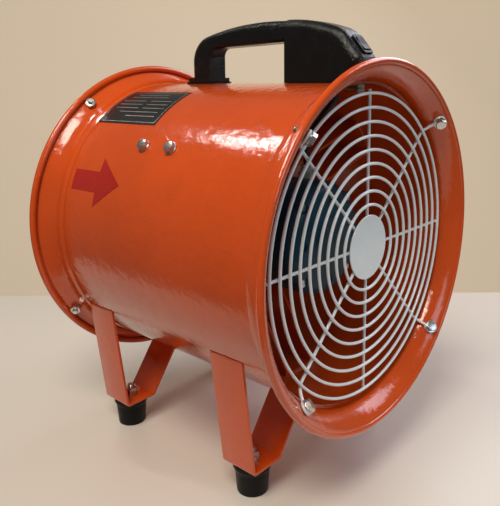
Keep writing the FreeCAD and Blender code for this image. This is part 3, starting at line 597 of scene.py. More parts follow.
across = maths(guard, "MULTIPLY", maths(guard, "SINE", given["Loop Tilt"]), given["Loop Radius"])
along = maths(guard, "MULTIPLY", maths(guard, "COSINE", given["Loop Tilt"]), given["Loop Radius"])
loop_start = vector_of(guard, maths(guard, "SUBTRACT", given["Loop Centre Radius"], across),
                       maths(guard, "ADD", given["Loop Centre Depth"], along))
bolt_spoke = add(guard, "GeometryNodeCurvePrimitiveLine", Start=inner_end, End=before_knee).outputs[0]
bend = add(guard, "GeometryNodeCurveQuadraticBezier", Resolution=10, Start=before_knee, Middle=knee,
           End=loop_start).outputs[0]
loop = add(guard, "GeometryNodeCurvePrimitiveCircle", Resolution=32, Radius=given["Loop Radius"]).outputs[0]
loop = moved(guard, loop, offset=vector_of(guard, given["Loop Centre Radius"], given["Loop Centre Depth"]),
             turned=vector_of(guard, 0.0, math.pi / 2, given["Loop Tilt"]))
bolt_wires = round_copies(guard, joined(guard, bolt_spoke, bend, loop), 4, 45, 90)

profile = add(guard, "GeometryNodeCurvePrimitiveCircle", Resolution=10, Radius=given["Wire Radius"])
tubes = add(guard, "GeometryNodeCurveToMesh", Curve=joined(guard, rings, spokes, bolt_wires),
            Profile_Curve=profile.outputs[0], Fill_Caps=True).outputs[0]

weld_depth = maths(guard, "MULTIPLY", maths(guard, "ADD", given["Ring Depth"], given["Spoke Depth"]), 0.5)
weld_line = add(guard, "GeometryNodeMeshLine", Count=given["Rings"], Offset=(0, 0, 0)).outputs[0]
weld_place = add(guard, "GeometryNodeSetPosition", Geometry=weld_line,
                 Position=vector_of(guard, ring_radius, weld_depth)).outputs[0]
weld_points = round_copies(guard, weld_place, 8, 0, 45)
blob = add(guard, "GeometryNodeMeshIcoSphere", Radius=1.5 * MM, Subdivisions=2).outputs[0]
welds = add(guard, "GeometryNodeInstanceOnPoints", Points=weld_points, Instance=blob,
            Scale=(1.25, 1.1, 1.25)).outputs[0]
placed = moved(guard, moved(guard, joined(guard, tubes, welds), turned=given["Turn"]), offset=given["Place"])
close_tree(guard, placed, given["Finish"], guard_out)
print("guard tree nodes:", len(guard.nodes))

# %% [markdown]
# The loops sit on the flare where the sheet has turned forty degrees, so their centre and tilt come from the
# flare's own arc. Each guard is then one run of the tree with its place and turn.

# %% Build both guards
FLARE_TURN, REAR_TURN = 40.6, 9.0
seat = flare_point(FLARE_TURN, FLARE_R)
tilt = math.radians(FLARE_TURN)
bolt_way = Vector((-math.cos(tilt), -math.sin(tilt)))
loop_centre = seat + bolt_way * (1.65 * MM)
guard_values = {
    "Rings": 9, "Outer Radius": 143.5 * MM, "Pitch": 12.85 * MM, "Wire Radius": 1.5 * MM,
    "Ring Depth": 18.9 * MM, "Spoke Depth": 21.7 * MM, "Inner Reach": 20 * MM, "Knee Radius": 147 * MM,
    "Loop Radius": 5 * MM, "Loop Centre Radius": loop_centre[0], "Loop Centre Depth": loop_centre[1],
    "Loop Tilt": tilt, "Finish": guard_enamel}
GUARD_TURNS = {"front": (0, 0, 0), "rear": (0, math.radians(-REAR_TURN), math.pi)}
for end, turned in GUARD_TURNS.items():
    place = (0, FRONT_Y + (LENGTH if end == "rear" else 0), AXIS_Z)
    wires = run_tree(end + "_wires", guard, {**guard_values, "Place": place, "Turn": turned}, smooth=60)
    settle(wires, "casing", "guard_paint", end + "_guard", end + "_guard_hooks")

# %% [markdown]
# A hexagon bolt is easy to get wrong as a plain prism: the real head has its corners chamfered to a circle.
# Here the head is a hexagon of points pulled down at its corners, and the threads are fine turned ridges.
# One fastener is modelled standing on the floor and pointing up, and a second Geometry
# Nodes tree sets copies of it on points that carry the way they face, each spun a little at random.


# %% Fastener shapes
ON_AXIS = 0.02 * MM


def turned_part(shape, outline, steps=24):
    """A closed or axis-to-axis outline of (radius, height) turned about the Z axis at the origin."""
    def place(radius, height, degrees):
        a = math.radians(degrees)
        return Vector((radius * math.cos(a), radius * math.sin(a), height))
    lathe(shape, outline, place, steps)


def hexagon_part(shape, flats, low, high, hole=0.0, chamfers=(True, True)):
    """A hexagon between two heights, chamfered at its corners, with or without a hole."""
    angles = [2 * math.pi * k / 36 for k in range(36)]

    def reach(a):
        return flats / 2 / math.cos(a % (math.pi / 3) - math.pi / 6)

    def drop(a, chamfered):
        return 0.05 * MM + 0.55 * (reach(a) - flats / 2) if chamfered else 0.08 * MM

    def ring(radius, height):
        return [shape.verts.new((radius * math.cos(a), radius * math.sin(a), height)) for a in angles]

    def edge(height, sign, chamfered):
        points = [(reach(a) * math.cos(a), reach(a) * math.sin(a), height + sign * drop(a, chamfered))
                  for a in angles]
        return [shape.verts.new(p) for p in points]

    face_r, inner = flats * 0.47, max(hole, flats * 0.02)
    rows = [ring(inner, high), ring(face_r, high), edge(high, -1, chamfers[1]), edge(low, 1, chamfers[0]),
            ring(face_r, low), ring(inner, low)]
    grid_faces(shape, rows, loop_rows=hole > 0)
    if hole <= 0:
        shape.faces.new(rows[0])
        shape.faces.new(rows[-1][::-1])


def thread_outline(radius, low, high, pitch):
    """The outline of a threaded end, tip chamfered, from the axis at one end to the axis at the other."""
    points, z = [(ON_AXIS, low), (radius * 0.82, low)], low + pitch * 0.5
    while z < high - pitch:
        points += [(radius * 0.98, z), (radius * 0.86, z + pitch / 2)]
        z += pitch
    return points + [(radius * 0.98, high), (ON_AXIS, high)]


def hex_bolt(name, flats, head, shank, radius, pitch=0.8 * MM):
    shape = bmesh.new()
    hexagon_part(shape, flats, 0, head, chamfers=(False, True))
    turned_part(shape, thread_outline(radius, -shank, 0.2 * MM, pitch))
    return finish_mesh(name, shape, zinc_plate, smooth=35)


def hex_nut(name, flats, height, hole):
    shape = bmesh.new()
    hexagon_part(shape, flats, 0, height, hole)
    return finish_mesh(name, shape, zinc_plate, smooth=35)


def flat_washer(name, outer, inner, thick):
    shape = bmesh.new()
    corners = [(inner, 0), (outer, 0), (outer, thick), (inner, thick)]
    turned_part(shape, rounded_line(corners, min(thick * 0.35, 0.3 * MM), 3), 40)
    return finish_mesh(name, shape, zinc_plate, smooth=35)


print("points along a 10 mm thread:", len(thread_outline(3 * MM, -10 * MM, 0, 0.8 * MM)))

# %% [markdown]
# The rows tree reads the way each point faces, lines a copy of the fastener up with it, and spins the copy
# about its own axis by a random angle with a fixed seed, because no two bolts stop at the same turn.

# %% Fastener tree
rows_tree, rows_in, rows_out = geometry_tree("fastener_rows", [
    ("Fastener", "Object"), ("Finish", "Material"), ("Spin Seed", "Int"), ("Largest Spin", "Float")])
LARGEST_SPIN = 6.28
given = rows_in.outputs
facing = add(rows_tree, "GeometryNodeInputNamedAttribute", {"data_type": "FLOAT_VECTOR"}, Name="facing")
aligned = add(rows_tree, "FunctionNodeAlignRotationToVector", {"axis": "Z"}, Vector=facing.outputs[0])
chance = add(rows_tree, "FunctionNodeRandomValue", {"data_type": "FLOAT"})
chance.inputs[2].default_value = 0.0
rows_tree.links.new(given["Largest Spin"], chance.inputs[3])
rows_tree.links.new(given["Spin Seed"], chance.inputs["Seed"])
spun = add(rows_tree, "FunctionNodeAxisAngleToRotation", Axis=(0, 0, 1), Angle=chance.outputs[1])
both_turns = add(rows_tree, "FunctionNodeRotateRotation", {"rotation_space": "LOCAL"})
rows_tree.links.new(aligned.outputs[0], both_turns.inputs[0])
rows_tree.links.new(spun.outputs[0], both_turns.inputs[1])
one = add(rows_tree, "GeometryNodeObjectInfo", Object=given["Fastener"])
copies = add(rows_tree, "GeometryNodeInstanceOnPoints", Points=given["Geometry"],
             Instance=one.outputs["Geometry"], Rotation=both_turns.outputs[0])
close_tree(rows_tree, copies.outputs[0], given["Finish"], rows_out)


def fastener_rows(name, fastener, places, node, seed, body="casing"):
    """Copies of a fastener at places, each a pair of a point and the way its top faces."""
    mesh = bpy.data.meshes.new(name + "_points")
    mesh.from_pydata([tuple(p) for p, way in places], [], [])
    facing_data = mesh.attributes.new("facing", "FLOAT_VECTOR", "POINT")
    facing_data.data.foreach_set("vector", [c for p, way in places for c in way])
    values = {"Fastener": fastener, "Finish": zinc_plate, "Spin Seed": seed, "Largest Spin": LARGEST_SPIN}
    piece = run_tree(name, rows_tree, values, base=mesh, smooth=35)
    bpy.data.objects.remove(fastener)
    return settle(piece, body, "zinc", node)


print("rows tree nodes:", len(rows_tree.nodes))

# %% [markdown]
# Each guard bolt stands square to the flare, its head toward the duct's axis, with the guard's loop and a
# washer under it and a nut behind. The arms inside the duct are held by bolts whose heads stand outside.
# The points are worked out once, from the same angles and stations as the flare and the tube.

# %% Guard fasteners
GUARD_ANGLES = (-45, 45, 135, 225)
M6_FLATS, M6_HEAD, M6_R, M6_BORE_R = 10 * MM, 4 * MM, 3 * MM, 3.2 * MM
NUT_SLACK = 0.1 * MM


def guard_points(rise):
    """Points on the guard bolts' lines, rise above the flare, at both ends, with the way to the axis."""
    places = []
    for at_rear in (False, True):
        for angle in GUARD_ANGLES:
            angle_here = angle + (REAR_TURN if at_rear else 0)
            spot = seat + bolt_way * rise
            station = LENGTH - spot[1] if at_rear else spot[1]
            along = -bolt_way[1] if at_rear else bolt_way[1]
            way = outward(angle_here) * bolt_way[0] + Vector((0, along, 0))
            places.append((on_duct(angle_here, spot[0], station), way))
    return places


def m6_bolt(shank):
    return hex_bolt("m6_bolt", M6_FLATS, M6_HEAD, shank, M6_R)


def m6_nut(height):
    return hex_nut("m6_nut", M6_FLATS, height, M6_R - NUT_SLACK)


def m6_washer(outer, thick):
    return flat_washer("m6_washer", outer, M6_BORE_R, thick)


fastener_rows("guard_bolt_set", m6_bolt(14.5 * MM), guard_points(4.5 * MM), "guard_bolts", 5)
fastener_rows("guard_washer_set", m6_washer(6.6 * MM, 1.2 * MM), guard_points(3.3 * MM), "guard_washers", 6)
guard_backs = [(point, -way) for point, way in guard_points(-2.1 * MM)]
fastener_rows("guard_nut_set", m6_nut(4.8 * MM), guard_backs, "guard_nuts", 7)

# %% [markdown]
# The arms' bolts are placed by angle and station round the tube, the handle's screws along its top. Both
# sit at a radius counted from the tube's wall, so they follow the duct's size.

# %% Mount and handle fasteners
ARM_ANGLES, ARM_STATIONS = (-52, 52, 180), (156 * MM, 195 * MM)
HANDLE_STATIONS = (84 * MM, 98 * MM, 223 * MM, 238 * MM)
BORE = DUCT_R - SHEET


def mount_points(rise, sign=1):
    return [(on_duct(a, DUCT_R + rise, s), outward(a) * sign) for a in ARM_ANGLES for s in ARM_STATIONS]


def handle_points(rise):
    return [(on_duct(0, BORE + rise, s), Vector((0, 0, -1))) for s in HANDLE_STATIONS]


fastener_rows("mount_bolt_set", m6_bolt(13.5 * MM), mount_points(1.5 * MM), "mount_bolts", 11)
fastener_rows("mount_washer_set", m6_washer(6.5 * MM, 1.6 * MM), mount_points(-0.1 * MM), "mount_washers", 12)
fastener_rows("mount_nut_set", m6_nut(5 * MM), mount_points(-4.7 * MM, -1), "mount_nuts", 13)
fastener_rows("handle_screw_set", m6_bolt(14 * MM), handle_points(-1.4 * MM), "handle_screws", 21)
fastener_rows("handle_washer_set", m6_washer(6 * MM, 1.2 * MM), handle_points(-0.2 * MM),
              "handle_washers", 22)

# %% [markdown]
# Each foot hangs on one bolt that comes up through the rubber. Its head and a washer sit in the foot's
# pocket, and a washer and nut hold it above the strap. Eight equal washers make one row.

# %% Foot fasteners
FEET = ("front_left", "front_right", "rear_left", "rear_right")
foot_boxes = [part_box("foot_" + name) for name in FEET]
foot_centres = [(low + high) / 2 for low, high in foot_boxes]
FOOT_TOP = foot_boxes[0][1].z
STRAP_T = 3 * MM
POCKET_DEPTH = 19.6 * MM
M8_FLATS, M8_HEAD, M8_R, M8_PITCH = 13 * MM, 5.3 * MM, 4 * MM, 1.25 * MM
M8_WASHER_T = 1.6 * MM


def foot_points(rise, sign=1):
    return [(Vector((c.x, c.y, FOOT_TOP + rise)), Vector((0, 0, sign))) for c in foot_centres]


fastener_rows("foot_bolt_set", hex_bolt("m8_bolt", M8_FLATS, M8_HEAD, 34.6 * MM, M8_R, M8_PITCH),
              foot_points(-POCKET_DEPTH, -1), "foot_bolts", 31)
fastener_rows("foot_washer_set", flat_washer("m8_washer", 8 * MM, 4.2 * MM, M8_WASHER_T),
              foot_points(-POCKET_DEPTH) + foot_points(STRAP_T), "foot_washers", 33)
fastener_rows("foot_nut_set", hex_nut("m8_nut", M8_FLATS, 6.5 * MM, M8_R - NUT_SLACK),
              foot_points(STRAP_T + M8_WASHER_T), "foot_nuts", 34)

# %% [markdown]
# Each stand is a single strap of steel, bent six times. A bend in thick strap has a small radius inside and
# a larger one outside, so the strap's middle line, given in millimetres from the duct's axis, is rounded
# first and the section is carried along it.
# The section has slightly eased edges, as sheared and painted steel has.


# %% Stands
STRAP_WIDTH, STRAP_BEND_R, STRAP_EASE = 40 * MM, 3 * MM, 0.5 * MM
STRAP_LINE = [(-126.9, -84.5), (-113.0, -201.5), (-77.0, -201.5), (-43.5, -155.0),
              (43.5, -155.0), (77.0, -201.5), (113.0, -201.5), (126.9, -84.5)]


def strap_section():
    half_w, half_t = STRAP_WIDTH / 2, STRAP_T / 2
    corners = [(-half_w, -half_t), (half_w, -half_t), (half_w, half_t), (-half_w, half_t)]
    return rounded_line(corners, STRAP_EASE, 3)


def carry_section(shape, path, section, side):
    """A section of (along side, along normal) carried down a flat path and capped at both ends."""
    rows = []
    for k, point in enumerate(path):
        before = (point - path[k - 1]).normalized() if k else None
        after = (path[k + 1] - point).normalized() if k < len(path) - 1 else None
        way = ((before or after) + (after or before)).normalized()
        normal = way.cross(side).normalized()
        stretch = 1.0 if not (before and after) else 1 / max(0.6, math.cos(before.angle(after) / 2))
        rows.append([shape.verts.new(point + side * p[0] + normal * (p[1] * stretch)) for p in section])
    grid_faces(shape, rows, loop_rows=False)
    shape.faces.new(rows[0])
    shape.faces.new(rows[-1][::-1])


def stand(name, node, mid_y):
    flat = rounded_line([(x * MM, z * MM) for x, z in STRAP_LINE], STRAP_BEND_R, 5, closed=False)
    path = [Vector((p[0], mid_y, AXIS_Z + p[1])) for p in flat]
    shape = bmesh.new()
    carry_section(shape, path, strap_section(), Vector((0, 1, 0)))
    return settle(finish_mesh(name, shape, duct_enamel, smooth=35), "casing", "duct_paint", node)


for name in ("front_stand", "rear_stand"):
    low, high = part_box(name)
    stand(name + "_strap", name, (low.y + high.y) / 2)
print("strap width", round(high.y - low.y, 4))

# %% [markdown]
# The straps are welded to the tube along their upper ends and where the middle run touches it. A weld bead
# laid by hand is a row of overlapping drops, so a short tree sets round drops, half sunk in the metal, along
# a line, with a little chance in their size, and the same paint covers them.

# %% Weld beads
bead_tree, bead_in, bead_out = geometry_tree("weld_bead", [
    ("Drop Radius", "Float"), ("Drops", "Int"), ("Seed", "Int"), ("Finish", "Material")])
given = bead_in.outputs
runs = add(bead_tree, "GeometryNodeMeshToCurve", Mesh=given["Geometry"]).outputs[0]
dots = add(bead_tree, "GeometryNodeResampleCurve", Curve=runs, Count=given["Drops"]).outputs[0]
drop = add(bead_tree, "GeometryNodeMeshUVSphere", Segments=12, Rings=8, Radius=1.0).outputs[0]
size_chance = add(bead_tree, "FunctionNodeRandomValue", {"data_type": "FLOAT"})
size_chance.inputs[2].default_value, size_chance.inputs[3].default_value = 0.8, 1.15
bead_tree.links.new(given["Seed"], size_chance.inputs["Seed"])
drop_size = maths(bead_tree, "MULTIPLY", given["Drop Radius"], size_chance.outputs[1])
drops = add(bead_tree, "GeometryNodeInstanceOnPoints", Points=dots, Instance=drop, Scale=drop_size).outputs[0]
close_tree(bead_tree, drops, given["Finish"], bead_out)


CONTACT_ANGLE, BELLY_ANGLES = 123.9, (1, 9)


def weld_ends():
    """Both ends of every bead: along each strap's upper ends, and round the tube where the middle touches."""
    points = []
    for name in ("front_stand", "rear_stand"):
        low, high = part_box(name)
        for side in (-1, 1):
            contact = on_duct(side * CONTACT_ANGLE, DUCT_R + 0.2 * MM, 0)
            points += [Vector((contact.x, y, contact.z)) for y in (low.y + 3 * MM, high.y - 3 * MM)]
            for edge in (low.y, high.y):
                points += [on_duct(180 + side * a, DUCT_R - 0.1 * MM, edge - FRONT_Y) for a in BELLY_ANGLES]
    return points


base = bpy.data.meshes.new("weld_lines")
ends = weld_ends()
base.from_pydata([tuple(p) for p in ends], [(k, k + 1) for k in range(0, len(ends), 2)], [])
bead_values = {"Drop Radius": 1.3 * MM, "Drops": 18, "Seed": 4, "Finish": duct_enamel}
settle(run_tree("stand_welds", bead_tree, bead_values, base=base, smooth=180), "casing", "duct_paint")

# %% [markdown]
# The feet are moulded rubber cones, thicker at the top, with rounded rims, a shallow moulding ring and a
# pocket below that hides the bolt's head.


# %% Feet
def foot(name, node, centre):
    low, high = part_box(node)
    top_r, top = (high.x - low.x) / 2, high.z
    low_r = top_r * 15 / 19
    pocket_r, bolt_r, floor = 9.5 * MM, 4.3 * MM, 12 * MM
    corners = [(pocket_r, 0.0), (low_r, 0.0), (low_r + 1.9 * MM, top - 8 * MM),
               (top_r - 0.9 * MM, top - 4 * MM), (top_r, top - 3.4 * MM), (top_r, top), (bolt_r, top),
               (bolt_r, floor), (pocket_r, floor)]
    radii = [r * MM for r in (0.6, 1.4, 6, 0.5, 0.4, 0.8, 0.2, 0.2, 0.5)]

    def place(radius, height, degrees):
        a = math.radians(degrees)
        return Vector((centre.x + radius * math.cos(a), centre.y + radius * math.sin(a), height))

    shape = bmesh.new()
    lathe(shape, rounded_line(corners, radii, 4), place, 64)
    return settle(finish_mesh(name, shape, foot_rubber, smooth=50), "casing", "rubber", node)


for name, centre in zip(FEET, foot_centres):
    foot("foot_cone_" + name, "foot_" + name, centre)
print("feet:", len(FEET))

# %% [markdown]
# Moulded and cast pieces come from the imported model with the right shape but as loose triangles. A copy is
# merged, its flat faces are joined again, its sharp edges get a narrow bevel that catches the light, and
# weighted normals keep the flats flat. The table below gives each piece its finish, its slot, its body and
# its bevel in millimetres, nought for the pieces whose edges are already round.


# %% Dressed pieces
def dressed(node, finish, slot, body, bevel, smooth=35):
    shape = bmesh.new()
    shape.from_mesh(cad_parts[node].data)
    bmesh.ops.remove_doubles(shape, verts=shape.verts, dist=2e-6)
    bmesh.ops.dissolve_limit(shape, angle_limit=math.radians(0.4), verts=shape.verts, edges=shape.edges)
    piece = painted_piece(node + "_skin", shape, finish, smooth)
    if bevel:
        eased = piece.modifiers.new("eased_edges", "BEVEL")
        eased.width, eased.segments, eased.limit_method = bevel, 2, "ANGLE"
        eased.angle_limit = math.radians(40)
        eased.use_clamp_overlap = True
    piece.modifiers.new("weighted", "WEIGHTED_NORMAL").keep_sharp = True
    return settle(piece, body, slot, node)


DRESSED = [
    ("handle_grip", handle_nylon, "handle_plastic", "casing", 0),
    ("switch_housing", handle_nylon, "handle_plastic", "casing", 0),
    ("handle_gaskets", foot_rubber, "rubber", "casing", 0),
    ("switch_body", gloss_nylon, "switch_plastic", "casing", 0.3),
    ("switch_rocker", gloss_nylon, "switch_plastic", "rocker", 0.4),
    ("switch_terminals", plain_brass, "brass", "casing", 0.1),
    ("supply_gland", handle_nylon, "handle_plastic", "casing", 0.4),
    ("supply_gland_nuts", handle_nylon, "handle_plastic", "casing", 0.4),
    ("run_capacitor", case_white, "capacitor_case", "casing", 1.5),
    ("motor_lead", lead_rubber, "cable", "casing", 0),
    ("earth_lead", earth_green, "earth_wire", "casing", 0),
    ("lead_grommet", foot_rubber, "rubber", "casing", 0.3),
    ("earth_stud", zinc_plate, "zinc", "casing", 0.3),
    ("earth_nuts", zinc_plate, "zinc", "casing", 0.3),
    ("front_guard_disc", guard_enamel, "guard_paint", "casing", 0.5),
    ("rear_guard_disc", guard_enamel, "guard_paint", "casing", 0.5),
    ("motor_front_bell", motor_enamel, "motor_paint", "casing", 0),
    ("motor_rear_bell", motor_enamel, "motor_paint", "casing", 0),
    ("motor_shell", motor_enamel, "motor_paint", "casing", 0),
    ("motor_gland", gland_nylon, "gland_plastic", "casing", 0.4),
    ("motor_mount", duct_enamel, "duct_paint", "casing", 0.4),
    ("tie_bolts", zinc_plate, "zinc", "casing", 0.2),
    ("tie_nuts", zinc_plate, "zinc", "casing", 0.3),
    ("stator_core", turned_steel, "core_steel", "casing", 0),
    ("stator_windings", winding_copper, "copper", "casing", 1),
    ("bearing_outer_rings", ground_steel, "bearing_steel", "casing", 0.4),
    ("bearing_inner_rings", ground_steel, "bearing_steel", "rotor", 0.3),
    ("rotor_core", turned_steel, "core_steel", "rotor", 0.5),
    ("motor_shaft", turned_steel, "shaft_steel", "rotor", 0.4),
    ("shaft_key", turned_steel, "shaft_steel", "rotor", 0.2),
    ("impeller_hub", blade_enamel, "blade_paint", "rotor", 0.8),
    ("hub_screw", zinc_plate, "zinc", "rotor", 0.4),
    ("hub_washer", zinc_plate, "zinc", "rotor", 0.3),
]
for node, finish, slot, body, bevel in DRESSED:
    dressed(node, finish, slot, body, bevel * MM)
print("dressed pieces:", len(DRESSED))

# %% [markdown]
# The impeller's blades are pressed sheet: narrow and steep at the hub, wide and flat at the tip, cambered
# along their width and rounded at the corners. One blade is meshed from a rule for chord, pitch and camber,
# with a riveted foot that lies on the hub, and a tree turns six of them round the axis.

# %% One blade
hub_low, hub_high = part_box("impeller_hub")
HUB_R = (hub_high.x - hub_low.x) / 2
TIP_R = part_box("impeller_blades")[1].z - AXIS_Z
BLADE_Y = hub_low.y + 17 * MM
BLADE_T, BLADE_CORNER = 2.5 * MM, 12 * MM
RULE_RADII = (44 * MM, 95 * MM, 152 * MM)
CHORDS, CAMBERS = (44 * MM, 58 * MM, 70 * MM), (4.5 * MM, 5.5 * MM, 5.0 * MM)
PITCHES = (42, 32, 24)
FOOT_HALF, FOOT_FRONT, FOOT_BACK, FOOT_T = 19 * MM, 13 * MM, 6 * MM, 2.5 * MM
print("hub radius %.4f, tip radius %.4f" % (HUB_R, TIP_R))


def along_blade(radius, values):
    """The chord, pitch or camber at a radius, from its values at three radii."""
    (r0, r1, r2), (v0, v1, v2) = RULE_RADII, values
    return (v0 * (radius - r1) * (radius - r2) / ((r0 - r1) * (r0 - r2))
            + v1 * (radius - r0) * (radius - r2) / ((r1 - r0) * (r1 - r2))
            + v2 * (radius - r0) * (radius - r1) / ((r2 - r0) * (r2 - r1)))


def blade_point(radius, share, lift):
    """A point at a radius, share -1 to 1 across the chord, lift out of the blade's middle surface."""
    pitch = math.radians(along_blade(radius, PITCHES))
    past = max(0.0, radius - (TIP_R - BLADE_CORNER)) / BLADE_CORNER
    chord = along_blade(radius, CHORDS) - 2 * BLADE_CORNER * (1 - math.sqrt(max(0.0, 1 - past * past)))
    u = share * chord / 2
    v = -along_blade(radius, CAMBERS) * (1 - share * share) + lift
    x = math.cos(pitch) * u + math.sin(pitch) * v
    y = math.sin(pitch) * u - math.cos(pitch) * v
    return Vector((x, y, math.sqrt(max(radius * radius - x * x, 1e-8))))


def blade_sheet(shape):
    edge = [(-1, 0.35), (-0.985, 0.9), (-0.96, 1.0)]
    flat = [(-0.96 + 1.92 * k / 20, 1.0) for k in range(1, 20)]
    upper = edge + flat + [(-s, w) for s, w in edge[::-1]]
    section = upper + [(s, -w) for s, w in upper[::-1]]
    tail = [TIP_R - BLADE_CORNER + BLADE_CORNER * math.sin(math.pi / 2 * k / 8) for k in range(9)]
    radii = [HUB_R - 0.5 * MM + (tail[0] - HUB_R) * k / 16 for k in range(16)] + tail
    rows = [[shape.verts.new(blade_point(r, s, w * BLADE_T / 2)) for s, w in section] for r in radii]
    grid_faces(shape, rows, loop_rows=False)
    shape.faces.new(rows[0])
    shape.faces.new(rows[-1][::-1])


def blade_foot(shape):
    """A plate that lies on the hub, turned to the blade's root pitch, with an eased upper edge."""
    pitch = math.radians(PITCHES[0])
    outline = rounded_line([(-FOOT_HALF, -FOOT_FRONT), (FOOT_HALF, -FOOT_FRONT), (FOOT_HALF, FOOT_BACK),
                            (-FOOT_HALF, FOOT_BACK)], 5 * MM, 5)
    rows = []
    for rise, shrink in ((-0.3 * MM, 1.0), (FOOT_T - 0.4 * MM, 1.0), (FOOT_T, 0.975)):
        row = []
        for u, v in (p * shrink for p in outline):
            x, y = math.cos(pitch) * u - math.sin(pitch) * v, math.sin(pitch) * u + math.cos(pitch) * v
            row.append(shape.verts.new((x, y, math.sqrt((HUB_R + rise) ** 2 - x * x))))
        rows.append(row)
    grid_faces(shape, rows, loop_rows=False)
    shape.faces.new(rows[0][::-1])
    shape.faces.new(rows[-1])


def blade_shape():
    shape = bmesh.new()
    blade_sheet(shape)
    blade_foot(shape)
    print("one blade:", len(shape.faces), "faces")
    return finish_mesh("one_blade", shape, blade_enamel, smooth=50)


# %% [markdown]
# Six equal blades need only one rule: copies on as many points as the count says, each turned by its share
# of a full turn. The pattern stays with the rotor's body, so it spins with the hub.

# %% Blade tree
blade_tree, blade_in, blade_out = geometry_tree("blades_round_hub", [
    ("Blade", "Object"), ("Count", "Int"), ("Place", "Vector"), ("Finish", "Material")])
given = blade_in.outputs
spots = add(blade_tree, "GeometryNodeMeshLine", Count=given["Count"], Offset=(0, 0, 0)).outputs[0]
step = maths(blade_tree, "DIVIDE", 2 * math.pi, given["Count"])
angle = maths(blade_tree, "MULTIPLY", add(blade_tree, "GeometryNodeInputIndex").outputs[0], step)
one = add(blade_tree, "GeometryNodeObjectInfo", Object=given["Blade"])
wheel = add(blade_tree, "GeometryNodeInstanceOnPoints", Points=spots, Instance=one.outputs["Geometry"],
            Rotation=vector_of(blade_tree, y=angle)).outputs[0]
wheel = moved(blade_tree, wheel, offset=given["Place"])
close_tree(blade_tree, wheel, given["Finish"], blade_out)
BLADES = 6
blade = blade_shape()
wheel_values = {"Blade": blade, "Count": BLADES, "Place": (0, BLADE_Y, AXIS_Z), "Finish": blade_enamel}
wheel_piece = run_tree("impeller_wheel", blade_tree, wheel_values, smooth=50)
bpy.data.objects.remove(blade)
settle(wheel_piece, "rotor", "blade_paint", "impeller_blades")

# %% [markdown]
# Two rivets hold each foot. A rivet is a turned shape too: a low dome above, a plain shank through foot and
# hub, and a flat upset end below. It stands on the foot's curved top, square to the hub.

# %% Rivets
RIVET_ALONG, RIVET_ASIDE, RIVET_R = 8 * MM, 5.5 * MM, 3.4 * MM


def rivet():
    shape = bmesh.new()
    outline = [(0, 1.5), (1.6, 1.35), (2.8, 0.9), (3.4, 0.1), (3.3, -0.3), (2.0, -0.3), (2.0, -5.6),
               (3.2, -5.7), (3.0, -8.0), (0, -8.2)]
    turned_part(shape, [(max(r * MM, ON_AXIS), z * MM) for r, z in outline], 20)
    return finish_mesh("rivet", shape, zinc_plate, smooth=40)


def rivet_places():
    a = math.radians(PITCHES[0])
    places = []
    for k in range(BLADES):
        for along in (-RIVET_ALONG, RIVET_ALONG):
            x = along * math.cos(a) + RIVET_ASIDE * math.sin(a)
            y = along * math.sin(a) - RIVET_ASIDE * math.cos(a)
            near = max(abs(x) - RIVET_R, 0)
            radial = Matrix.Rotation(math.radians(360 / BLADES * k), 3, "Y")
            spot = Vector((x, y, math.sqrt((HUB_R + FOOT_T) ** 2 - near * near)))
            places.append((radial @ spot + Vector((0, BLADE_Y, AXIS_Z)), radial @ Vector((0, 0, 1))))
    return places


fastener_rows("blade_rivet_set", rivet(), rivet_places(), "blade_rivets", 41, body="rotor")

# %% [markdown]
# A black plate is glued to the tube's shoulder, blank but for a border and ruled lines. Beside it an airflow
# arrow is painted in a darker red. Both are bent to the tube's radius, so one helper makes such a patch: it
# fills four corners given as angles and stations, and lifts the result off the tube to give it a thickness.


# %% Bent patches
def patch(shape, corners, radius, thick, across=24, along=12):
    """A sheet bent to the tube between four (angle, station) corners, standing on a radius."""
    first, second, third, fourth = (Vector(p) for p in corners)
    layers = []
    for lift in (0.0, thick):
        rows = []
        for i in range(across + 1):
            low, high = first.lerp(second, i / across), fourth.lerp(third, i / across)
            points = [low.lerp(high, j / along) for j in range(along + 1)]
            rows.append([shape.verts.new(on_duct(p[0], radius + lift, p[1])) for p in points])
        layers.append(rows)
    under, over = layers
    grid_faces(shape, under, loop_rows=False, loop_columns=False)
    grid_faces(shape, over, loop_rows=False, loop_columns=False)

    def rim(rows):
        right, left = [row[-1] for row in rows], [row[0] for row in rows]
        return rows[0][:-1] + right[:-1] + rows[-1][::-1][:-1] + left[::-1][:-1]

    grid_faces(shape, [rim(under), rim(over)], loop_rows=False)


def box_patch(shape, angles, stations, radius, thick, across=24, along=12):
    (angle_low, angle_high), (near, far) = angles, stations
    corners = [(angle_low, near), (angle_high, near), (angle_high, far), (angle_low, far)]
    patch(shape, corners, radius, thick, across, along)


trial = bmesh.new()
box_patch(trial, (0, 10), (0, 10 * MM), DUCT_R, 1 * MM)
print("a patch has", len(trial.faces), "faces")
trial.free()

# %% [markdown]
# The plate is one patch that hugs the tube between two angles and two stations. Its border and ruled lines
# are thinner patches that stand on it, each given by its height on the plate and where it starts and ends.

# %% Plate and its ruling
plate_low, plate_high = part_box("nameplate")
PLATE_STATIONS = (plate_low.y - FRONT_Y, plate_high.y - FRONT_Y)
PLATE_ANGLES = (-42.5, -20.5)
PLATE_RISE = 0.4 * MM
shape = bmesh.new()
box_patch(shape, PLATE_ANGLES, PLATE_STATIONS, DUCT_R - 0.1 * MM, PLATE_RISE + 0.1 * MM)
plate = finish_mesh("blank_plate", shape, plate_enamel, smooth=50)
settle(plate, "casing", "plate_black", "nameplate")

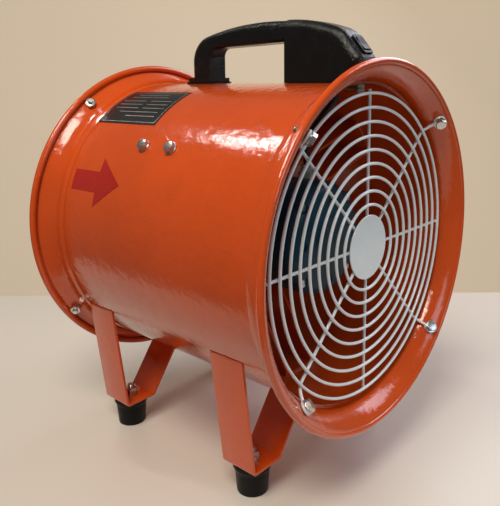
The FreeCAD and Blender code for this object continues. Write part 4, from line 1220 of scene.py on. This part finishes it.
shape = bmesh.new()
RULE_R, RULE_W = DUCT_R + PLATE_RISE - 0.02 * MM, 0.5 * MM
RULE_DEG = math.degrees(RULE_W / DUCT_R)
near, far = PLATE_STATIONS[0] + 2.5 * MM, PLATE_STATIONS[1] - 2.5 * MM
left, right = PLATE_ANGLES[0] + 1.0, PLATE_ANGLES[1] - 1.0
for low in (left, right - RULE_DEG):
    box_patch(shape, (low, low + RULE_DEG), (near, far), RULE_R, 0.12 * MM, 1, 30)
for low in (near, far - RULE_W):
    box_patch(shape, (left, right), (low, low + RULE_W), RULE_R, 0.12 * MM, 20, 1)
RULED = [(0.16, 0.10, 0.62), (0.28, 0.10, 0.80), (0.40, 0.06, 0.44), (0.40, 0.52, 0.94), (0.52, 0.06, 0.44),
         (0.52, 0.52, 0.94), (0.64, 0.06, 0.44), (0.64, 0.52, 0.94), (0.78, 0.20, 0.86), (0.88, 0.26, 0.80)]
for height, start, end in RULED:
    low = left + (right - left) * height
    span = (near + (far - near) * start, near + (far - near) * end)
    box_patch(shape, (low, low + RULE_DEG * 1.3), span, RULE_R, 0.1 * MM, 1, 16)
settle(finish_mesh("plate_ruling", shape, plate_border, smooth=50), "casing", "plate_black")
print("plate faces", len(plate.data.polygons), " ruled lines", len(RULED))

# %% [markdown]
# The arrow points to the front mouth, where the air leaves. Its shaft and head are two patches, and the
# head's two near corners almost meet at the tip. It stands about a quarter of a millimetre proud of the
# sheet, which keeps it clear of the tube's slight wander.

# %% Airflow arrow
ARROW_ANGLE, HEAD_HALF, SHAFT_HALF, TIP_HALF = -68.0, 9.5, 4.0, 0.01
ARROW_TIP, ARROW_NECK, ARROW_TAIL = 210 * MM, 246 * MM, 288 * MM
ARROW_R, ARROW_T = DUCT_R - 0.10 * MM, 0.22 * MM


def beside_arrow(half):
    return ARROW_ANGLE - half, ARROW_ANGLE + half


shape = bmesh.new()
box_patch(shape, beside_arrow(SHAFT_HALF), (ARROW_NECK, ARROW_TAIL), ARROW_R, ARROW_T)
tip_angles, neck_angles = beside_arrow(TIP_HALF), beside_arrow(HEAD_HALF)
head = [(tip_angles[0], ARROW_TIP), (tip_angles[1], ARROW_TIP),
        (neck_angles[1], ARROW_NECK), (neck_angles[0], ARROW_NECK)]
patch(shape, head, ARROW_R, ARROW_T, 24, 16)
arrow = finish_mesh("airflow_arrow", shape, arrow_enamel, smooth=50)
settle(arrow, "casing", "duct_paint")
print("arrow faces", len(arrow.data.polygons))

# %% [markdown]
# The studio is a pale table, with an evenly lit warm wall well behind it so that it never hides the fan. The
# table ends a short way round the fan, so the glossy tube shows its edge as a line low on the side.


# %% Studio
def stage_material(name, colour, rough):
    made = bpy.data.materials.new(name)
    made.use_nodes = True
    tree = made.node_tree
    shader = tree.nodes["Principled BSDF"]
    shader.inputs["Roughness"].default_value = rough
    place_node = add(tree, "ShaderNodeTexCoord").outputs["Object"]
    soft = spread(tree, noise(tree, place_node, 3.0, 3.0), 0.3, 0.7, 0.0, 0.6)
    dull = tuple(c * 0.96 for c in colour)
    tree.links.new(blend_colours(tree, soft, (*colour, 1), (*dull, 1)), shader.inputs["Base Color"])
    return made


def plane(name, corners, finish):
    mesh = bpy.data.meshes.new(name)
    mesh.from_pydata([tuple(c) for c in corners], [], [tuple(range(len(corners)))])
    mesh.materials.append(finish)
    linked(name, mesh)


floor_finish = stage_material("studio_floor", (0.71, 0.65, 0.575), 0.35)
wall_finish = stage_material("studio_wall", (0.66, 0.55, 0.42), 0.8)
glow = wall_finish.node_tree.nodes["Principled BSDF"]
glow.inputs["Emission Color"].default_value = (0.56, 0.45, 0.32, 1)
glow.inputs["Emission Strength"].default_value = 0.68
AWAY = Vector((math.sin(-AZIMUTH), math.cos(AZIMUTH), 0))
ACROSS = Vector((AWAY.y, -AWAY.x, 0))
TABLE_END, WALL_END = 0.43, 2.2
far_left, far_right = (tuple(AWAY * TABLE_END + ACROSS * w) for w in (-0.95, 1.15))
table = [(-0.34, -0.42, 0), (0.55, -0.62, 0), far_right, far_left, (-0.34, 0.75, 0)]
WALL_CORNERS = ((-2.4, -1), (2.4, -1), (2.4, 1.4), (-2.4, 1.4))
plane("studio_wall", [AWAY * WALL_END + ACROSS * w + Vector((0, 0, z)) for w, z in WALL_CORNERS], wall_finish)
plane("studio_floor", table, floor_finish)
print("table ends %.2f m behind the fan, wall at %.1f m" % (TABLE_END, WALL_END))

# %% [markdown]
# Each lamp has a place, a point it looks at, a width and height, a power in watts and a tint. The wide warm
# key lights the near side, the cool right lamp fills the mouth, and the back lamp is narrow on purpose: it
# hangs behind and above, where it draws the bright streak along the tube's shoulder. A dim sky does the rest.


# %% Lamps and sky
def area_light(name, place, target, size, power, colour):
    data = bpy.data.lights.new(name, "AREA")
    data.shape, data.size, data.size_y, data.energy, data.color = "RECTANGLE", size[0], size[1], power, colour
    lamp = linked(name, data)
    lamp.location = place
    lamp.rotation_mode = "QUATERNION"
    lamp.rotation_quaternion = (Vector(target) - Vector(place)).to_track_quat("-Z", "Y")


area_light("key_light", (-0.92, -0.32, 1.62), (0, 0, 0.2), (0.9, 0.6), 25, (1.0, 0.93, 0.82))
area_light("back_light", (-0.34, 0.96, 1.53), (-0.05, -0.05, 0.3), (0.03, 0.26), 3.2, (1.0, 0.95, 0.9))
area_light("right_light", (1.35, -0.35, 1.25), (0, 0, 0.2), (1.6, 0.8), 16, (0.88, 0.88, 1.0))
area_light("front_light", (-0.1, -1.7, 0.9), (0, 0, 0.25), (0.9, 0.6), 4.5, (0.68, 0.88, 1.0))
sky = bpy.data.worlds.new("studio_sky")
sky.use_nodes = True
sky.node_tree.nodes["Background"].inputs[0].default_value = (1.0, 0.93, 0.84, 1)
sky.node_tree.nodes["Background"].inputs[1].default_value = 0.12
bpy.context.scene.world = sky
bpy.context.scene.view_settings.view_transform = "Standard"
